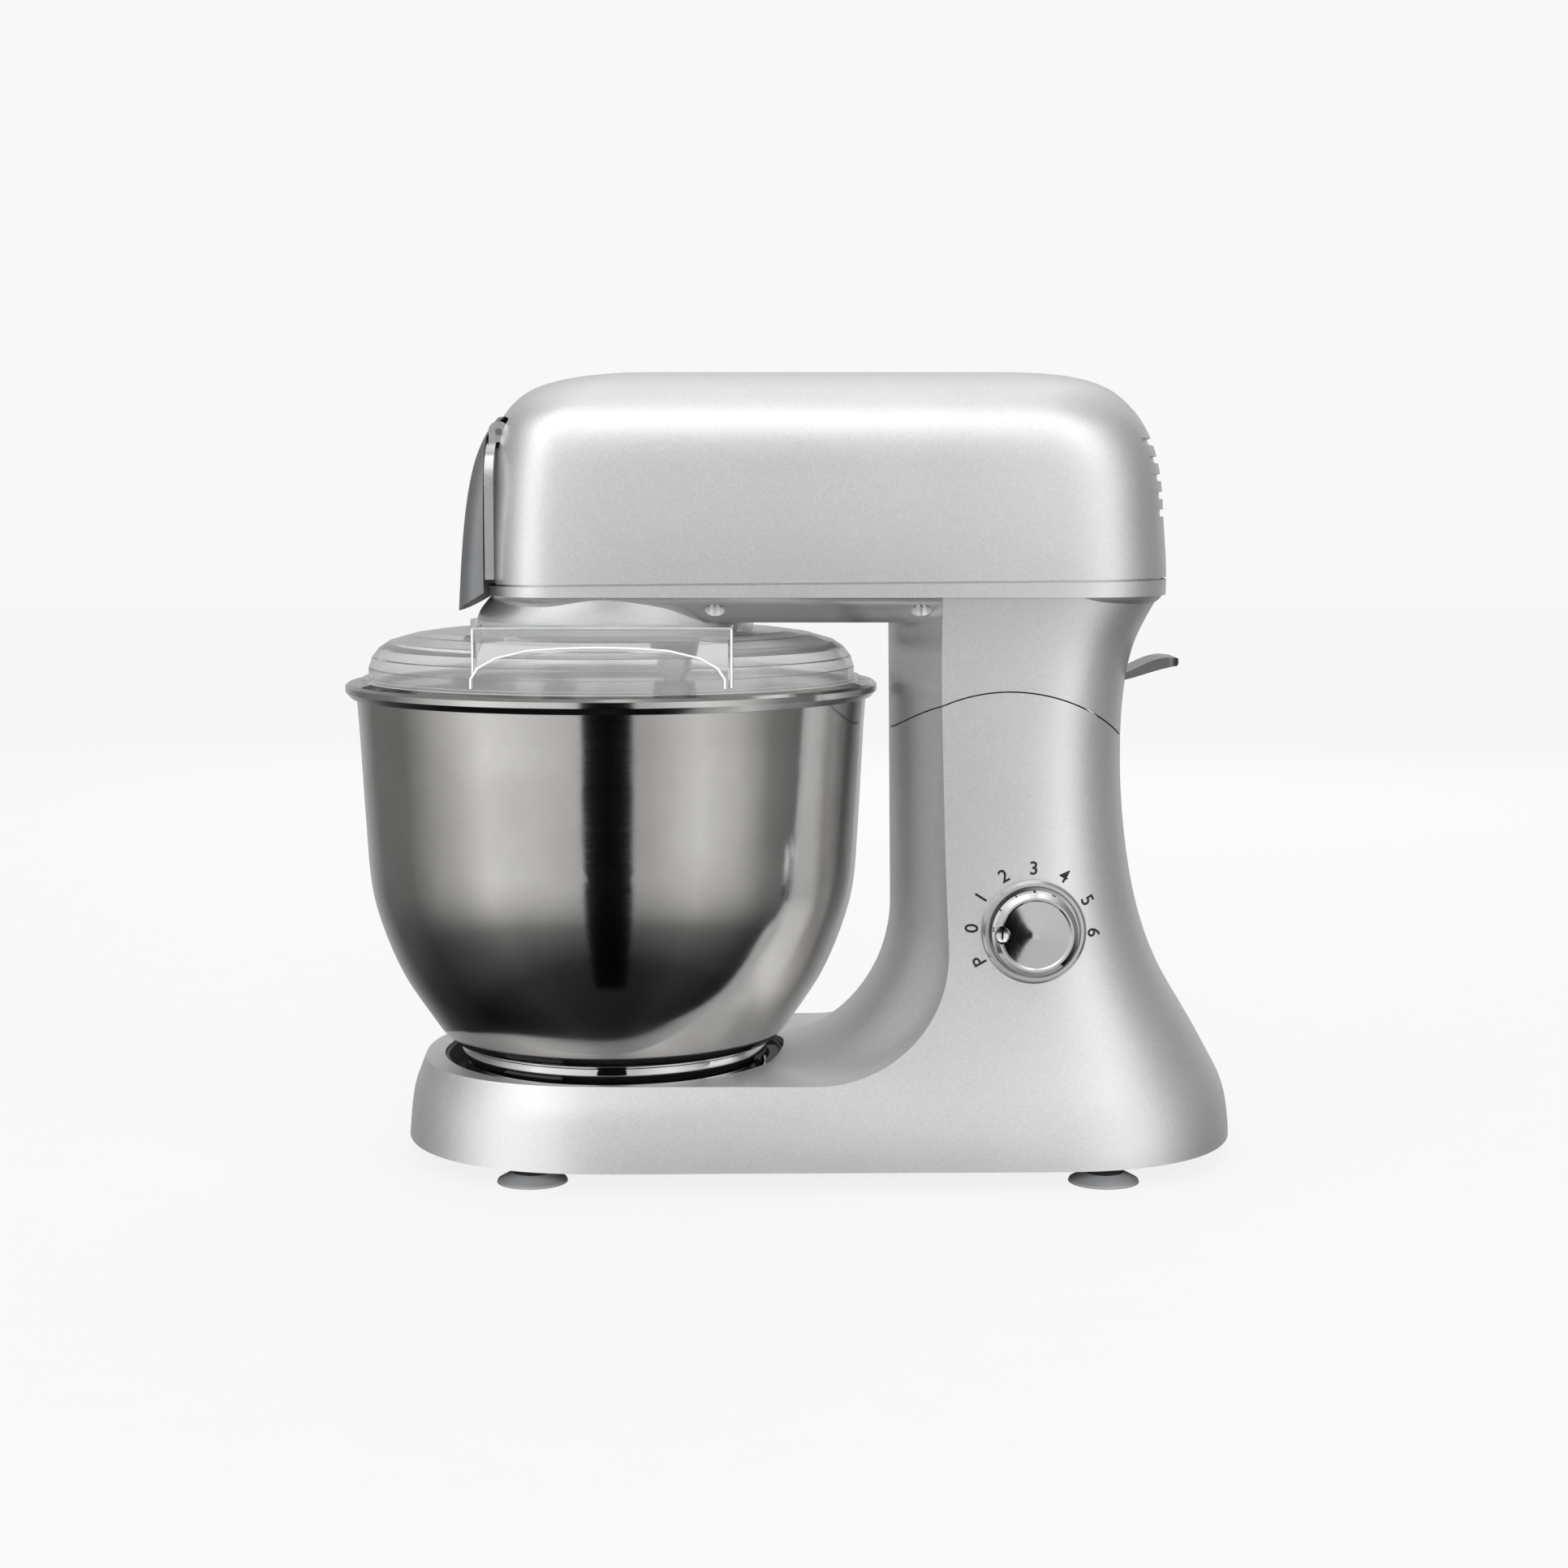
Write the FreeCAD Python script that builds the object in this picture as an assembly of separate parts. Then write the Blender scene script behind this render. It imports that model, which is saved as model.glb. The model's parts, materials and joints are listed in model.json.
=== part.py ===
import FreeCAD, Part
import math
import os
from functools import lru_cache

# A tilt-head stand mixer, in millimetres. +Z is up, +X runs from the bowl to the column, the knob is on
# the -Y side. The origin is on the table, under the middle of the object's box.

# ---------------------------------------------------------------- driving dimensions
BOWL_X = -77.35            # the bowl's axis, which is also the planetary gear's axis
DECK_Z = 41.6              # top of the base around the bowl
WALL = 2.5                 # moulded wall thickness
BASE_BOTTOM_Z = 8.0
RIM_R = 115.0              # bowl rim radius
RIM_Z = 204.6              # top of the bowl rim

PIVOT_X = 91.15            # head hinge
PIVOT_Z = 133.5
JOINT_R = 69.7             # radius of the column's domed top about the hinge
JOINT_GAP = 0.6            # gap between the dome and the neck

KNOB_X = 101.15
KNOB_Z = 104.5

RECESS_R = 74.6            # round recess in the deck
PARTING_FRONT_Z = 247.5    # parting line of the two head shells
PARTING_RISE = 2.5         # how far it rises from the front to the rear
HEAD_FRONT = -130.0
HEAD_REAR = 162.0
HEAD_HALF = 60.0
BOSS_R = 58.0              # planetary boss under the head
BOSS_BOTTOM_Z = 229.0
BELLY_Z = 231.5            # flat underside of the head
BAND_Z = 242.5             # lower edge of the bright band round the head

ORBIT = 27.0               # distance from the bowl's axis to the beater's axis
BEATER_X = BOWL_X + ORBIT
MODULE = 1.5               # of every straight-toothed gear
MOTOR_Z = 285.0
PORT_Z = 280.0             # axis of the accessory drive
SEAT_X = -123.5            # flat seat of the trim at the head's front
COVER_PIN_X = -122.4
COVER_PIN_Z = 311.0
LEVER_X = 132.5
LEVER_Z = 207.0
FRAME_Z = 240.0            # underside of the drive frame's plate
FRAME_TOP_Z = 244.0

V = FreeCAD.Vector
X, Y, Z = V(1, 0, 0), V(0, 1, 0), V(0, 0, 1)
NODES = {}


def keep(name, *solids):
    """Write one node, made of the given solids."""
    NODES[name] = solids[0] if len(solids) == 1 else Part.makeCompound(list(solids))


# ---------------------------------------------------------------- small shape helpers
def rod(x, y, z, radius, length, axis=Z):
    return Part.makeCylinder(radius, length, V(x, y, z), axis)


def tube(x, y, z, outer, inner, length, axis=Z):
    hole = rod(x, y, z, inner, length + 2, axis)
    hole.translate(axis * -1)
    return rod(x, y, z, outer, length, axis).cut(hole)


def block(x0, x1, y0, y1, z0, z1):
    return Part.makeBox(x1 - x0, y1 - y0, z1 - z0, V(x0, y0, z0))


def fuse(*solids):
    return solids[0].multiFuse(list(solids[1:])).removeSplitter()


def polygon(points):
    return Part.Wire(Part.makePolygon(points + points[:1]))


def prism(points, direction):
    return Part.Face(polygon(points)).extrude(direction)


def turned(profile, x, y=0.0, angle=360.0):
    """Solid of revolution about a vertical axis at (x, y); the profile is a list of (r, z)."""
    face = Part.Face(polygon([V(x + r, y, z) for r, z in profile]))
    return face.revolve(V(x, y, 0), Z, angle)


# ---------------------------------------------------------------- housing surfaces
def running_lengths(rows):
    """Share of the way along a run of points, averaged over several runs side by side."""
    lengths = [0.0]
    for here, there in zip(rows, rows[1:]):
        step = sum((a - b).Length for a, b in zip(here, there)) / len(here)
        lengths.append(lengths[-1] + step)
    return [length / lengths[-1] for length in lengths]


def skin(rows):
    """Solid with flat ends and one smooth side that passes through closed rows of points."""
    around = running_lengths(list(zip(*rows)) + [[row[0] for row in rows]])
    upward = running_lengths(rows)
    rings = []
    for row in rows:
        ring = Part.BSplineCurve()
        ring.interpolate(Points=row, PeriodicFlag=True, Parameters=around)
        rings.append(ring)
    columns = []
    for column_points in zip(*[ring.getPoles() for ring in rings]):
        column = Part.BSplineCurve()
        column.interpolate(Points=list(column_points), Parameters=upward)
        columns.append(column)
    surface = Part.BSplineSurface()
    surface.buildFromPolesMultsKnots(
        [column.getPoles() for column in columns], rings[0].getMultiplicities(),
        columns[0].getMultiplicities(), rings[0].getKnots(), columns[0].getKnots(), True, False,
        rings[0].Degree, columns[0].Degree)
    side = surface.toShape()
    ends = [edge for edge in side.Edges if edge.isClosed()]
    caps = [Part.Face(Part.Wire([edge])) for edge in ends]
    shell = Part.makeShell([side] + caps)
    shell.sewShape()
    solid = Part.makeSolid(shell)
    return solid if solid.Volume > 0 else solid.reversed()


def outline(z, front, rear, front_half, rear_half, front_len, rear_len, power=2.25):
    """Closed plan outline: a superellipse at each end, joined by straight sides."""
    steps = 8
    corner = [math.radians(90.0 * i / steps) for i in range(steps + 1)]
    upper = []
    for a in corner:
        along, across = math.cos(a) ** (2 / power), math.sin(a) ** (2 / power)
        upper.append(V(rear - rear_len * (1 - along), rear_half * across, z))
    start, end = rear - rear_len, front + front_len
    if start - end > 1.0:
        for share in (0.25, 0.5, 0.75):
            half = rear_half + (front_half - rear_half) * share
            upper.append(V(start + (end - start) * share, half, z))
    else:
        corner = corner[:-1]
    for a in reversed(corner):
        along, across = math.cos(a) ** (2 / power), math.sin(a) ** (2 / power)
        upper.append(V(front + front_len * (1 - along), front_half * across, z))
    lower = [V(p.x, -p.y, p.z) for p in reversed(upper[1:-1])]
    return upper + lower


# Base, column and neck share one side surface, given at these heights:
# z, front, rear, front half width, rear half width, length of the rear end's curve
SIDE_STATIONS = [
    (8.0, -167.05, 192.35, 90.5, 87.0, 85.0),
    (20.0, -166.0, 191.4, 88.0, 85.5, 84.0),
    (31.0, -164.0, 188.8, 84.3, 82.5, 82.0),
    (41.6, -160.0, 183.6, 78.0, 78.5, 78.0),
    (60.0, -158.0, 173.3, 70.5, 72.0, 69.0),
    (80.0, -157.0, 161.6, 65.0, 67.0, 60.0),
    (104.0, -156.0, 152.2, 61.0, 63.0, 52.0),
    (135.0, -156.0, 145.9, 58.5, 60.5, 47.0),
    (180.0, -156.0, 143.1, 57.0, 58.5, 44.0),
    (205.0, -156.0, 144.7, 56.7, 57.8, 43.0),
    (222.0, -156.0, 148.6, 57.0, 57.8, 43.0),
    (235.0, -156.0, 154.8, 58.0, 58.4, 45.0),
    (246.0, -156.0, 161.4, 59.5, 59.5, 49.0),
]


@lru_cache(None)
def side_solid(inset, floor_z):
    wires = []
    for z, front, rear, front_half, rear_half, rear_len in SIDE_STATIONS:
        wires.append(outline(
            max(z, floor_z), front + inset, rear - inset, front_half - inset, rear_half - inset,
            BOWL_X - front, rear_len))
    return skin(wires)


# Front face of the column: how far it lies behind the nose, and the radius that blends it into the deck
NOSE_X = 43.95
FACE_STATIONS = [(0.0, 0.0, 66.0), (20.0, 2.6, 65.0), (40.0, 10.4, 61.0), (60.0, 20.8, 56.5),
                 (78.0, 22.0, 55.0), (100.0, 22.0, 55.0)]


@lru_cache(None)
def front_space(grow):
    """The space in front of the column and above the deck, enlarged by grow."""
    far_x, top_z, lean = -260.0, 262.0, 1.6
    deck = DECK_Z - grow
    stations = [(-y, back, radius) for y, back, radius in reversed(FACE_STATIONS[1:])] + FACE_STATIONS
    wires = []
    for y, back, radius in stations:
        face_x, bend = NOSE_X + back + grow, radius + grow
        slope = math.sqrt(0.5)
        foot = V(face_x - bend, y, deck)
        middle = V(face_x - bend + bend * slope, y, deck + bend - bend * slope)
        head = V(face_x, y, deck + bend)
        top = V(face_x - lean, y, top_z)
        edges = [
            Part.makeLine(V(far_x, y, deck), foot),
            Part.Arc(foot, middle, head).toShape(),
            Part.makeLine(head, top),
            Part.makeLine(top, V(far_x, y, top_z)),
            Part.makeLine(V(far_x, y, top_z), V(far_x, y, deck)),
        ]
        wires.append(Part.Wire(edges))
    return Part.makeLoft(wires, True, False)


def dome_space(radius):
    """Everything above the lower column that lies outside the joint's radius."""
    return block(-250, 250, -150, 150, 150, 300).cut(rod(PIVOT_X, -160, PIVOT_Z, radius, 320, Y))


# ---------------------------------------------------------------- base and column
def slot_wedge(first_deg, last_deg, y0, y1):
    """Wedge about the hinge axis that cuts a slot through the dome."""
    reach = JOINT_R + 12
    corners = [V(PIVOT_X, y0, PIVOT_Z)]
    for degrees in (first_deg, (first_deg + last_deg) / 2, last_deg):
        a = math.radians(degrees)
        corners.append(V(PIVOT_X + reach * math.cos(a), y0, PIVOT_Z + reach * math.sin(a)))
    wedge = prism(corners, V(0, y1 - y0, 0))
    return wedge.cut(rod(PIVOT_X, y0 - 1, PIVOT_Z, JOINT_R - 2 * WALL, y1 - y0 + 2, Y))


def base_housing():
    outer = side_solid(0.0, BASE_BOTTOM_Z).cut(front_space(0.0)).cut(dome_space(JOINT_R))
    inner = side_solid(WALL, BASE_BOTTOM_Z - 1).cut(front_space(WALL)).cut(dome_space(JOINT_R - WALL))
    shell = outer.cut(inner)
    shell = shell.cut(slot_wedge(43.5, 96.0, -14.0, 14.0))
    shell = shell.cut(slot_wedge(44.5, 93.0, 23.6, 27.8))
    shell = shell.cut(rod(BOWL_X, 0, DECK_Z - 20, RECESS_R, 30))
    dial_seat = rod(KNOB_X, -62.5, KNOB_Z, 25.0, 4.4, Y).common(side_solid(0.5, BASE_BOTTOM_Z))
    shell = fuse(shell, dial_seat)
    shell = shell.cut(rod(KNOB_X, -90.0, KNOB_Z, 21.8, 28.0, Y))
    shell = shell.cut(rod(KNOB_X, -70.0, KNOB_Z, 3.6, 30.0, Y))
    shell = shell.cut(rod(GLAND_X - 20, GLAND_Y, GLAND_Z, 7.0, 40, X))
    return shell


GLAND_X, GLAND_Y, GLAND_Z = 178.0, 45.0, 22.0
FOOT_PLACES = [(x, y) for x in (-107.65, 130.65) for y in (-70.0, 70.0)]
PLATE_SCREWS = [(x, y) for x in (-60.0, 60.0, 150.0) for y in (-62.0, 62.0)]
BRACKET_SCREWS = [(x, y) for x in (62.0, 124.0) for y in (-28.0, 28.0)]


def bottom_plate():
    gap = WALL + 0.6
    z, front, rear, front_half, rear_half, rear_len = SIDE_STATIONS[0]
    wires = [outline(level, front + gap, rear - gap, front_half - gap, rear_half - gap,
                     BOWL_X - front, rear_len) for level in (BASE_BOTTOM_Z, BASE_BOTTOM_Z + 2.5)]
    plate = skin(wires)
    for x, y in FOOT_PLACES:
        plate = plate.cut(rod(x, y, 0, 4.0, 20))
    for x, y in PLATE_SCREWS:
        plate = fuse(plate, rod(x, y, BASE_BOTTOM_Z + 1, 4.5, 10))
        plate = plate.cut(rod(x, y, 0, 1.9, 30))
    for x, y in BRACKET_SCREWS:
        plate = plate.cut(rod(x, y, 0, 1.9, 20))
    return plate


def screw(x, y, z, shank, length, head, head_height):
    """Pan-head screw driven upwards, its head below z."""
    body = fuse(rod(x, y, z, shank, length), rod(x, y, z - head_height, head, head_height))
    slot = block(x - head, x + head, y - 0.5, y + 0.5, z - head_height - 1, z - head_height + 0.8)
    cross = block(x - 0.5, x + 0.5, y - head, y + head, z - head_height - 1, z - head_height + 0.8)
    return body.cut(slot).cut(cross)


def foot_cup(x, y):
    """Rubber suction cup, hollow underneath, with a stud that goes through the plate."""
    cup = turned([(0, 1.6), (9.0, 1.2), (11.0, 0), (14.75, 0), (14.4, 1.0), (11.5, 2.6), (8.6, 4.2), (5.0, 4.2),
                  (5.0, 8.0), (3.9, 8.0), (3.9, 10.5), (5.4, 10.5), (4.0, 14.0), (0, 14.0)], x, y)
    return cup


def foot_stem(x, y):
    profile = [(5.1, 4.3)]
    for ring in range(4):
        low = 4.3 + 0.9 * ring
        profile += [(8.4, low), (8.4, low + 0.5), (7.7, low + 0.6), (7.7, low + 0.9)]
    profile += [(5.1, 7.9)]
    return turned(profile, x, y)


def bowl_dock():
    """Dark dish that closes the recess, with two lugs that hold the bowl's foot."""
    dish = turned([(0, 29.0), (74.3, 29.0), (74.3, 40.6), (72.9, 40.6), (72.9, 31.4), (0, 31.4)], BOWL_X)
    ring = turned([(68.2, 36.6), (73.1, 36.6), (73.1, 39.6), (68.2, 39.6)], BOWL_X)
    lugs = []
    for turn in (0, 120, 240):
        lug = ring.common(pie(BOWL_X, 0, 80, 30, 41, turn - 13, turn + 13))
        lugs.append(lug)
    posts = [rod(BOWL_X + 60 * math.cos(math.radians(a)), 60 * math.sin(math.radians(a)),
                 BASE_BOTTOM_Z + 2.6, 4.0, 18.6) for a in (60, 180, 300)]
    return fuse(dish, *lugs, *posts)


def pie(x, y, radius, z0, z1, first_deg, last_deg):
    """Sector of a disc, for cutting rings into lugs."""
    points = [V(x, y, z0)]
    for degrees in (first_deg, (first_deg + last_deg) / 2, last_deg):
        a = math.radians(degrees)
        points.append(V(x + 1.3 * radius * math.cos(a), y + 1.3 * radius * math.sin(a), z0))
    return prism(points, V(0, 0, z1 - z0)).common(rod(x, y, z0, radius, z1 - z0))


def cord_gland():
    gland = fuse(tube(GLAND_X - 4, GLAND_Y, GLAND_Z, 6.9, 3.8, 11.0, X),
                 tube(GLAND_X - 4, GLAND_Y, GLAND_Z, 9.5, 3.8, 2.5, X),
                 tube(GLAND_X + 6, GLAND_Y, GLAND_Z, 5.6, 3.8, 6.0, X))
    return gland


def hinge_bracket():
    parts = [block(55, 131, -34, 34, 10.6, 14.0)]
    for side in (-1, 1):
        cheek = prism([V(64, 16 * side, 13), V(122, 16 * side, 13), V(105, 16 * side, PIVOT_Z),
                       V(105, 16 * side, 147), V(77, 16 * side, 147), V(77, 16 * side, PIVOT_Z)],
                      V(0, 4 * side, 0))
        parts.append(cheek)
    bracket = fuse(*parts).cut(rod(PIVOT_X, -40, PIVOT_Z, 5.0, 80, Y))
    for x, y in BRACKET_SCREWS:
        bracket = bracket.cut(rod(x, y, 5, 1.9, 20))
    return bracket


def hinge_pin():
    return fuse(rod(PIVOT_X, -24, PIVOT_Z, 5.0, 48, Y), rod(PIVOT_X, 20.1, PIVOT_Z, 7.5, 3.5, Y))


def latch_catch():
    """Sector plate on the bracket with the notch that the pawl drops into."""
    top = 61.0
    plate = rod(PIVOT_X, 24.2, PIVOT_Z, top, 3.0, Y).common(block(82, 112, 20, 30, 138, 200))
    web = block(84, 104, 20.1, 24.3, 141.2, 147)
    notch_x = PIVOT_X + top * math.cos(math.radians(86))
    notch = block(notch_x - 4, notch_x + 4, 20, 30, PIVOT_Z + top - 4.5, 220)
    return fuse(plate, web).cut(notch)


def safety_switch():
    body = block(82, 102, -27.0, -20.1, 148, 158)
    lever = block(84, 100, -26.0, -21.0, 158, 158.8)
    strut = block(84, 100, -22.5, -20.1, 139, 149)
    return fuse(body, lever, strut)


def speed_switch():
    body = block(84, 118, -56.0, -42, 91, 118)
    tabs = [block(x, x + 1, -42.2, -36, z, z + 5) for x in (88, 98, 108) for z in (94, 108)]
    return fuse(body, *tabs).cut(rod(KNOB_X, -70, KNOB_Z, 3.05, 30, Y))


def control_board():
    board = block(58, 132, 37, 38.6, 24, 96)
    feet = [block(x, x + 5, 36, 42, 14.0, 26) for x in (62, 122)]
    return fuse(board, *[block(f.BoundBox.XMin, f.BoundBox.XMax, 34.1, 38, 10.6, 30) for f in feet])


def board_parts():
    coil = tube(76, 28.5, 60, 8, 3.5, 8.3, Y)
    capacitor = block(92, 110, 26, 36.9, 34, 46)
    drum = rod(118, 20, 70, 7.5, 16.9, Y)
    sink = fuse(block(88, 106, 33.5, 36.9, 66, 90),
                *[block(88 + 4 * i, 89.2 + 4 * i, 22, 34, 66, 90) for i in range(5)])
    return [coil, capacitor, drum, sink]


def terminal_block():
    body = block(148, 164, 24, 46, 10.6, 24)
    for row in range(3):
        body = body.cut(rod(156, 28.5 + 6.5 * row, 16, 1.6, 12))
    return body


def knob_bezel():
    """Ring that frames the knob, seated in the housing's round pocket."""
    ring = turned_y([(3.7, 0.0), (21.5, 0.0), (21.5, 4.2), (20.4, 5.6), (19.3, 5.6), (18.7, 4.9), (18.7, 1.4),
                     (3.7, 1.4)], KNOB_X, -62.0, KNOB_Z)
    return ring


def turned_y(profile, x, y, z):
    """Solid of revolution about an axis along -Y; the profile is a list of (r, distance from y)."""
    face = Part.Face(polygon([V(x + r, y - out, z) for r, out in profile]))
    return face.revolve(V(x, y, z), Y, 360.0)


def knob_cap():
    cap = turned_y([(0, 2.0), (17.9, 2.0), (18.0, 9.0), (17.4, 11.5), (15.5, 13.2), (14.6, 13.2), (13.9, 12.6),
                    (0, 12.9)], KNOB_X, -62.0, KNOB_Z)
    dimple = Part.makeSphere(4.2, V(KNOB_X - 14.2, -62.0 - 15.0, KNOB_Z))
    return cap.cut(dimple).cut(rod(KNOB_X, -70, KNOB_Z, 3.0, 10, Y))


# ---------------------------------------------------------------- bowl
BOWL_OUTER = [(110.2, 198.0), (108.6, 172.0), (106.6, 135.0), (104.2, 112.0), (99.2, 95.0), (90.0, 74.7),
              (80.5, 60.2), (72.0, 49.6), (66.0, 46.3)]


def bowl_curve(inset):
    points = [V(BOWL_X + r - inset, 0, z + inset * max(0.0, (60 - z) / 14)) for r, z in BOWL_OUTER]
    curve = Part.BSplineCurve()
    curve.interpolate(points)
    return curve.toShape(), points


def mixing_bowl():
    thickness = 1.0
    outer, outer_points = bowl_curve(0.0)
    inner, inner_points = bowl_curve(thickness)
    top = RIM_Z
    rim = [outer_points[0], V(BOWL_X + 112.6, 0, top - 6.2), V(BOWL_X + RIM_R, 0, top - 3.6),
           V(BOWL_X + RIM_R, 0, top - 1.2), V(BOWL_X + RIM_R - 1.4, 0, top), V(BOWL_X + 111.4, 0, top - 0.6),
           V(BOWL_X + 109.6, 0, top - 3.4), inner_points[0]]
    rim_edges = [Part.makeLine(a, b) for a, b in zip(rim, rim[1:])]
    low_out, low_in = outer_points[-1], inner_points[-1]
    axis_low, axis_high = V(BOWL_X, 0, low_out.z - 0.6), V(BOWL_X, 0, low_in.z - 0.6)
    edges = rim_edges + [inner, Part.makeLine(low_in, axis_high), Part.makeLine(axis_high, axis_low),
                         Part.makeLine(axis_low, low_out), outer]
    face = Part.Face(Part.Wire(Part.__sortEdges__(edges)))
    return face.revolve(V(BOWL_X, 0, 0), Z, 360.0)


def bowl_foot_collar():
    """Dark collar under the bowl that carries the bayonet tabs."""
    collar = turned([(58, 40.6), (64.6, 40.6), (64.6, 42.2), (66.6, 42.2), (66.6, 44.2), (64.8, 44.8),
                     (64.8, 45.6), (58, 45.6)], BOWL_X)
    return collar


def bowl_foot_ring():
    ring = turned([(60.5, 31.7), (65.6, 31.7), (66.4, 32.6), (66.2, 35.6), (65.0, 39.2), (63.4, 40.5),
                   (60.5, 40.5), (60.5, 39.2), (63.0, 38.8), (64.6, 33.2), (60.5, 33.2)], BOWL_X)
    skirt = turned([(65.4, 33.4), (71.8, 33.4), (71.8, 35.9), (65.4, 35.9)], BOWL_X)
    tabs = [skirt.common(pie(BOWL_X, 0, 80, 30, 40, turn - 10, turn + 10)) for turn in (0, 120, 240)]
    return fuse(ring, *tabs)


# ---------------------------------------------------------------- head shells
# z, front inset, rear inset, side inset
HEAD_STATIONS = [
    (BAND_Z, 0.0, 0.4, 0.0), (256.0, 0.2, 0.5, 0.1), (274.0, 1.0, 1.8, 0.9), (292.0, 2.2, 3.2, 3.0),
    (306.0, 3.8, 6.6, 6.6), (316.0, 6.2, 11.4, 11.6), (323.5, 11.4, 17.4, 18.6), (329.5, 19.4, 25.0, 27.0),
    (333.4, 31.0, 34.5, 35.6), (335.8, 46.0, 47.0, 43.5), (336.8, 62.0, 63.0, 51.0),
]


SEAM = 0.9
LIP_DEPTH = 3.2


@lru_cache(None)
def head_solid(inset):
    wires = []
    for z, front_in, rear_in, side_in in HEAD_STATIONS:
        half = HEAD_HALF - side_in - inset
        level = z - inset * (z - BAND_Z) / (HEAD_STATIONS[-1][0] - BAND_Z)
        wires.append(outline(level, HEAD_FRONT + front_in + inset, HEAD_REAR - rear_in - inset,
                             max(half, 6.0), max(half, 6.0), min(32.0, max(half, 6.0)),
                             min(50.0, max(half, 6.0) + 6), 2.4))
    return skin(wires)


def below_parting(drop, floor_z=150.0):
    """Everything under the tilted parting plane lowered by drop."""
    points = [V(x, -200, PARTING_FRONT_Z - drop + PARTING_RISE * (x - HEAD_FRONT) / (HEAD_REAR - HEAD_FRONT))
              for x in (-300.0, 300.0)]
    points += [V(300, -200, floor_z), V(-300, -200, floor_z)]
    return prism(points, V(0, 400, 0))


def head_prism(inset, bottom_z, top_z):
    """Upright block with the head's plan outline, set in all round."""
    half = HEAD_HALF - inset
    return skin([outline(z, HEAD_FRONT + inset, HEAD_REAR - 0.4 - inset, half, half, 32.0, 50.0, 2.4)
                 for z in (bottom_z, top_z)])


def head_top_shell():
    shell = head_solid(0.0).cut(head_solid(WALL)).cut(below_parting(0.0))
    lip = head_prism(2.0, 243.0, 252.0).cut(head_prism(4.0, 242.0, 253.0)).cut(below_parting(LIP_DEPTH))
    shell = fuse(shell, lip)
    shell = shell.cut(block(-200, SEAT_X, -47.5, 47.5, 240, 313.5))
    shell = shell.cut(rod(COVER_PIN_X, -31.8, COVER_PIN_Z, 6.9, 63.6, Y))
    return shell.cut(louvres())


def louvres():
    """Five rear grooves that follow the head's outline, each with slots through the wall."""
    levels = [275.5 + 7.5 * step for step in range(5)]
    bands = [block(HEAD_REAR - 46, HEAD_REAR + 10, -33, 33, z, z + 3.0) for z in levels]
    grooves = Part.makeCompound(bands).cut(head_solid(1.3))
    slots = [block(HEAD_REAR - 14, HEAD_REAR + 10, y, y + 9, z + 0.6, z + 2.4)
             for z in levels for y in (-24, -11, 2, 15)]
    return grooves.multiFuse(slots)


BELLY_ROWS = [(BELLY_Z, 18.5), (234.4, 12.4), (238.0, 6.6), (242.0, 1.6), (244.0, 1.2)]
HOLLOW_ROWS = [(234.2, 22.0), (236.8, 15.6), (240.5, 9.6), (244.2, 4.4), (247.0, 3.9), (256.0, 3.9)]


def belly(rows):
    """Sloping underside of the head, or the hollow inside it: (z, how far in from the head's outline)."""
    wires = []
    for z, side_in in rows:
        half = HEAD_HALF - side_in
        wires.append(outline(z, HEAD_FRONT + 0.4 + side_in, HEAD_REAR - 0.6 - side_in, half, half, 32.0, 44.0, 2.4))
    return skin(wires)


def boss():
    """Planetary boss: a circle at its mouth that turns into the head's front outline."""
    rows = [(BOSS_BOTTOM_Z, BOSS_R, BOSS_R), (234.0, BOSS_R - 0.5, BOSS_R + 0.2), (239.0, 54.2, BOSS_R + 0.6),
            (BAND_Z + 1.0, BOWL_X - HEAD_FRONT - 2.2, HEAD_HALF - 2.2)]
    return skin([outline(z, BOWL_X - front_len, BOWL_X + half, half, half, front_len, half, 2.05)
                 for z, front_len, half in rows])


def neck():
    body = side_solid(0.0, BASE_BOTTOM_Z).cut(front_space(0.0))
    body = body.cut(rod(PIVOT_X, -160, PIVOT_Z, JOINT_R + JOINT_GAP, 320, Y))
    return body.cut(block(-250, 250, -150, 150, 0, 168))


HEAD_SCREWS = [(x, y) for x in (-31.35, 54.15) for y in (-52.0, 52.0)]


def head_lower_shell():
    band = head_solid(0.0).common(below_parting(SEAM))
    underside = belly(BELLY_ROWS)
    hollow = fuse(belly(HOLLOW_ROWS), rod(BOWL_X, 0, 225, 55.0, 6.4), rod(BOWL_X, 0, 230, 50.3, 16))
    hollow = hollow.cut(Part.makeCompound([rod(x, y, 230, 6.0, 30) for x, y in HEAD_SCREWS]))
    neck_hollow = skin([outline(z, 50.0, 142.0, 53.5, 55.2, 30.0, 44.0) for z in (140.0, 236.0)])
    shell = fuse(band, underside, boss(), neck()).cut(hollow).cut(neck_hollow)
    shell = shell.cut(head_prism(1.7, 230.0, 260.0).cut(below_parting(LIP_DEPTH + 0.4)))
    ears = [block(126.5, 138.2, side * 30.5 - 2, side * 30.5 + 2, 200, 214) for side in (-1, 1)]
    shell = fuse(shell, *ears)
    bores = [rod(x, y, 220, 4.2, 20.6) for x, y in HEAD_SCREWS] + [rod(x, y, 240, 1.6, 20) for x, y in HEAD_SCREWS]
    window = block(LEVER_X, 170, -16.5, 16.5, 202.4, 213.6)
    return shell.cut(Part.makeCompound(bores + [window, rod(LEVER_X, -40, LEVER_Z, 2.0, 80, Y)]))


# ---------------------------------------------------------------- front cover and trim
# z, front, half width
COVER_STATIONS = [
    (228.0, -142.2, 47.0), (249.0, -140.9, 47.0), (270.0, -139.3, 46.4), (288.0, -136.9, 44.6),
    (300.0, -134.1, 41.8), (308.0, -131.0, 38.4), (313.4, -128.0, 34.9), (317.4, -124.9, 31.0),
]


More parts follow.
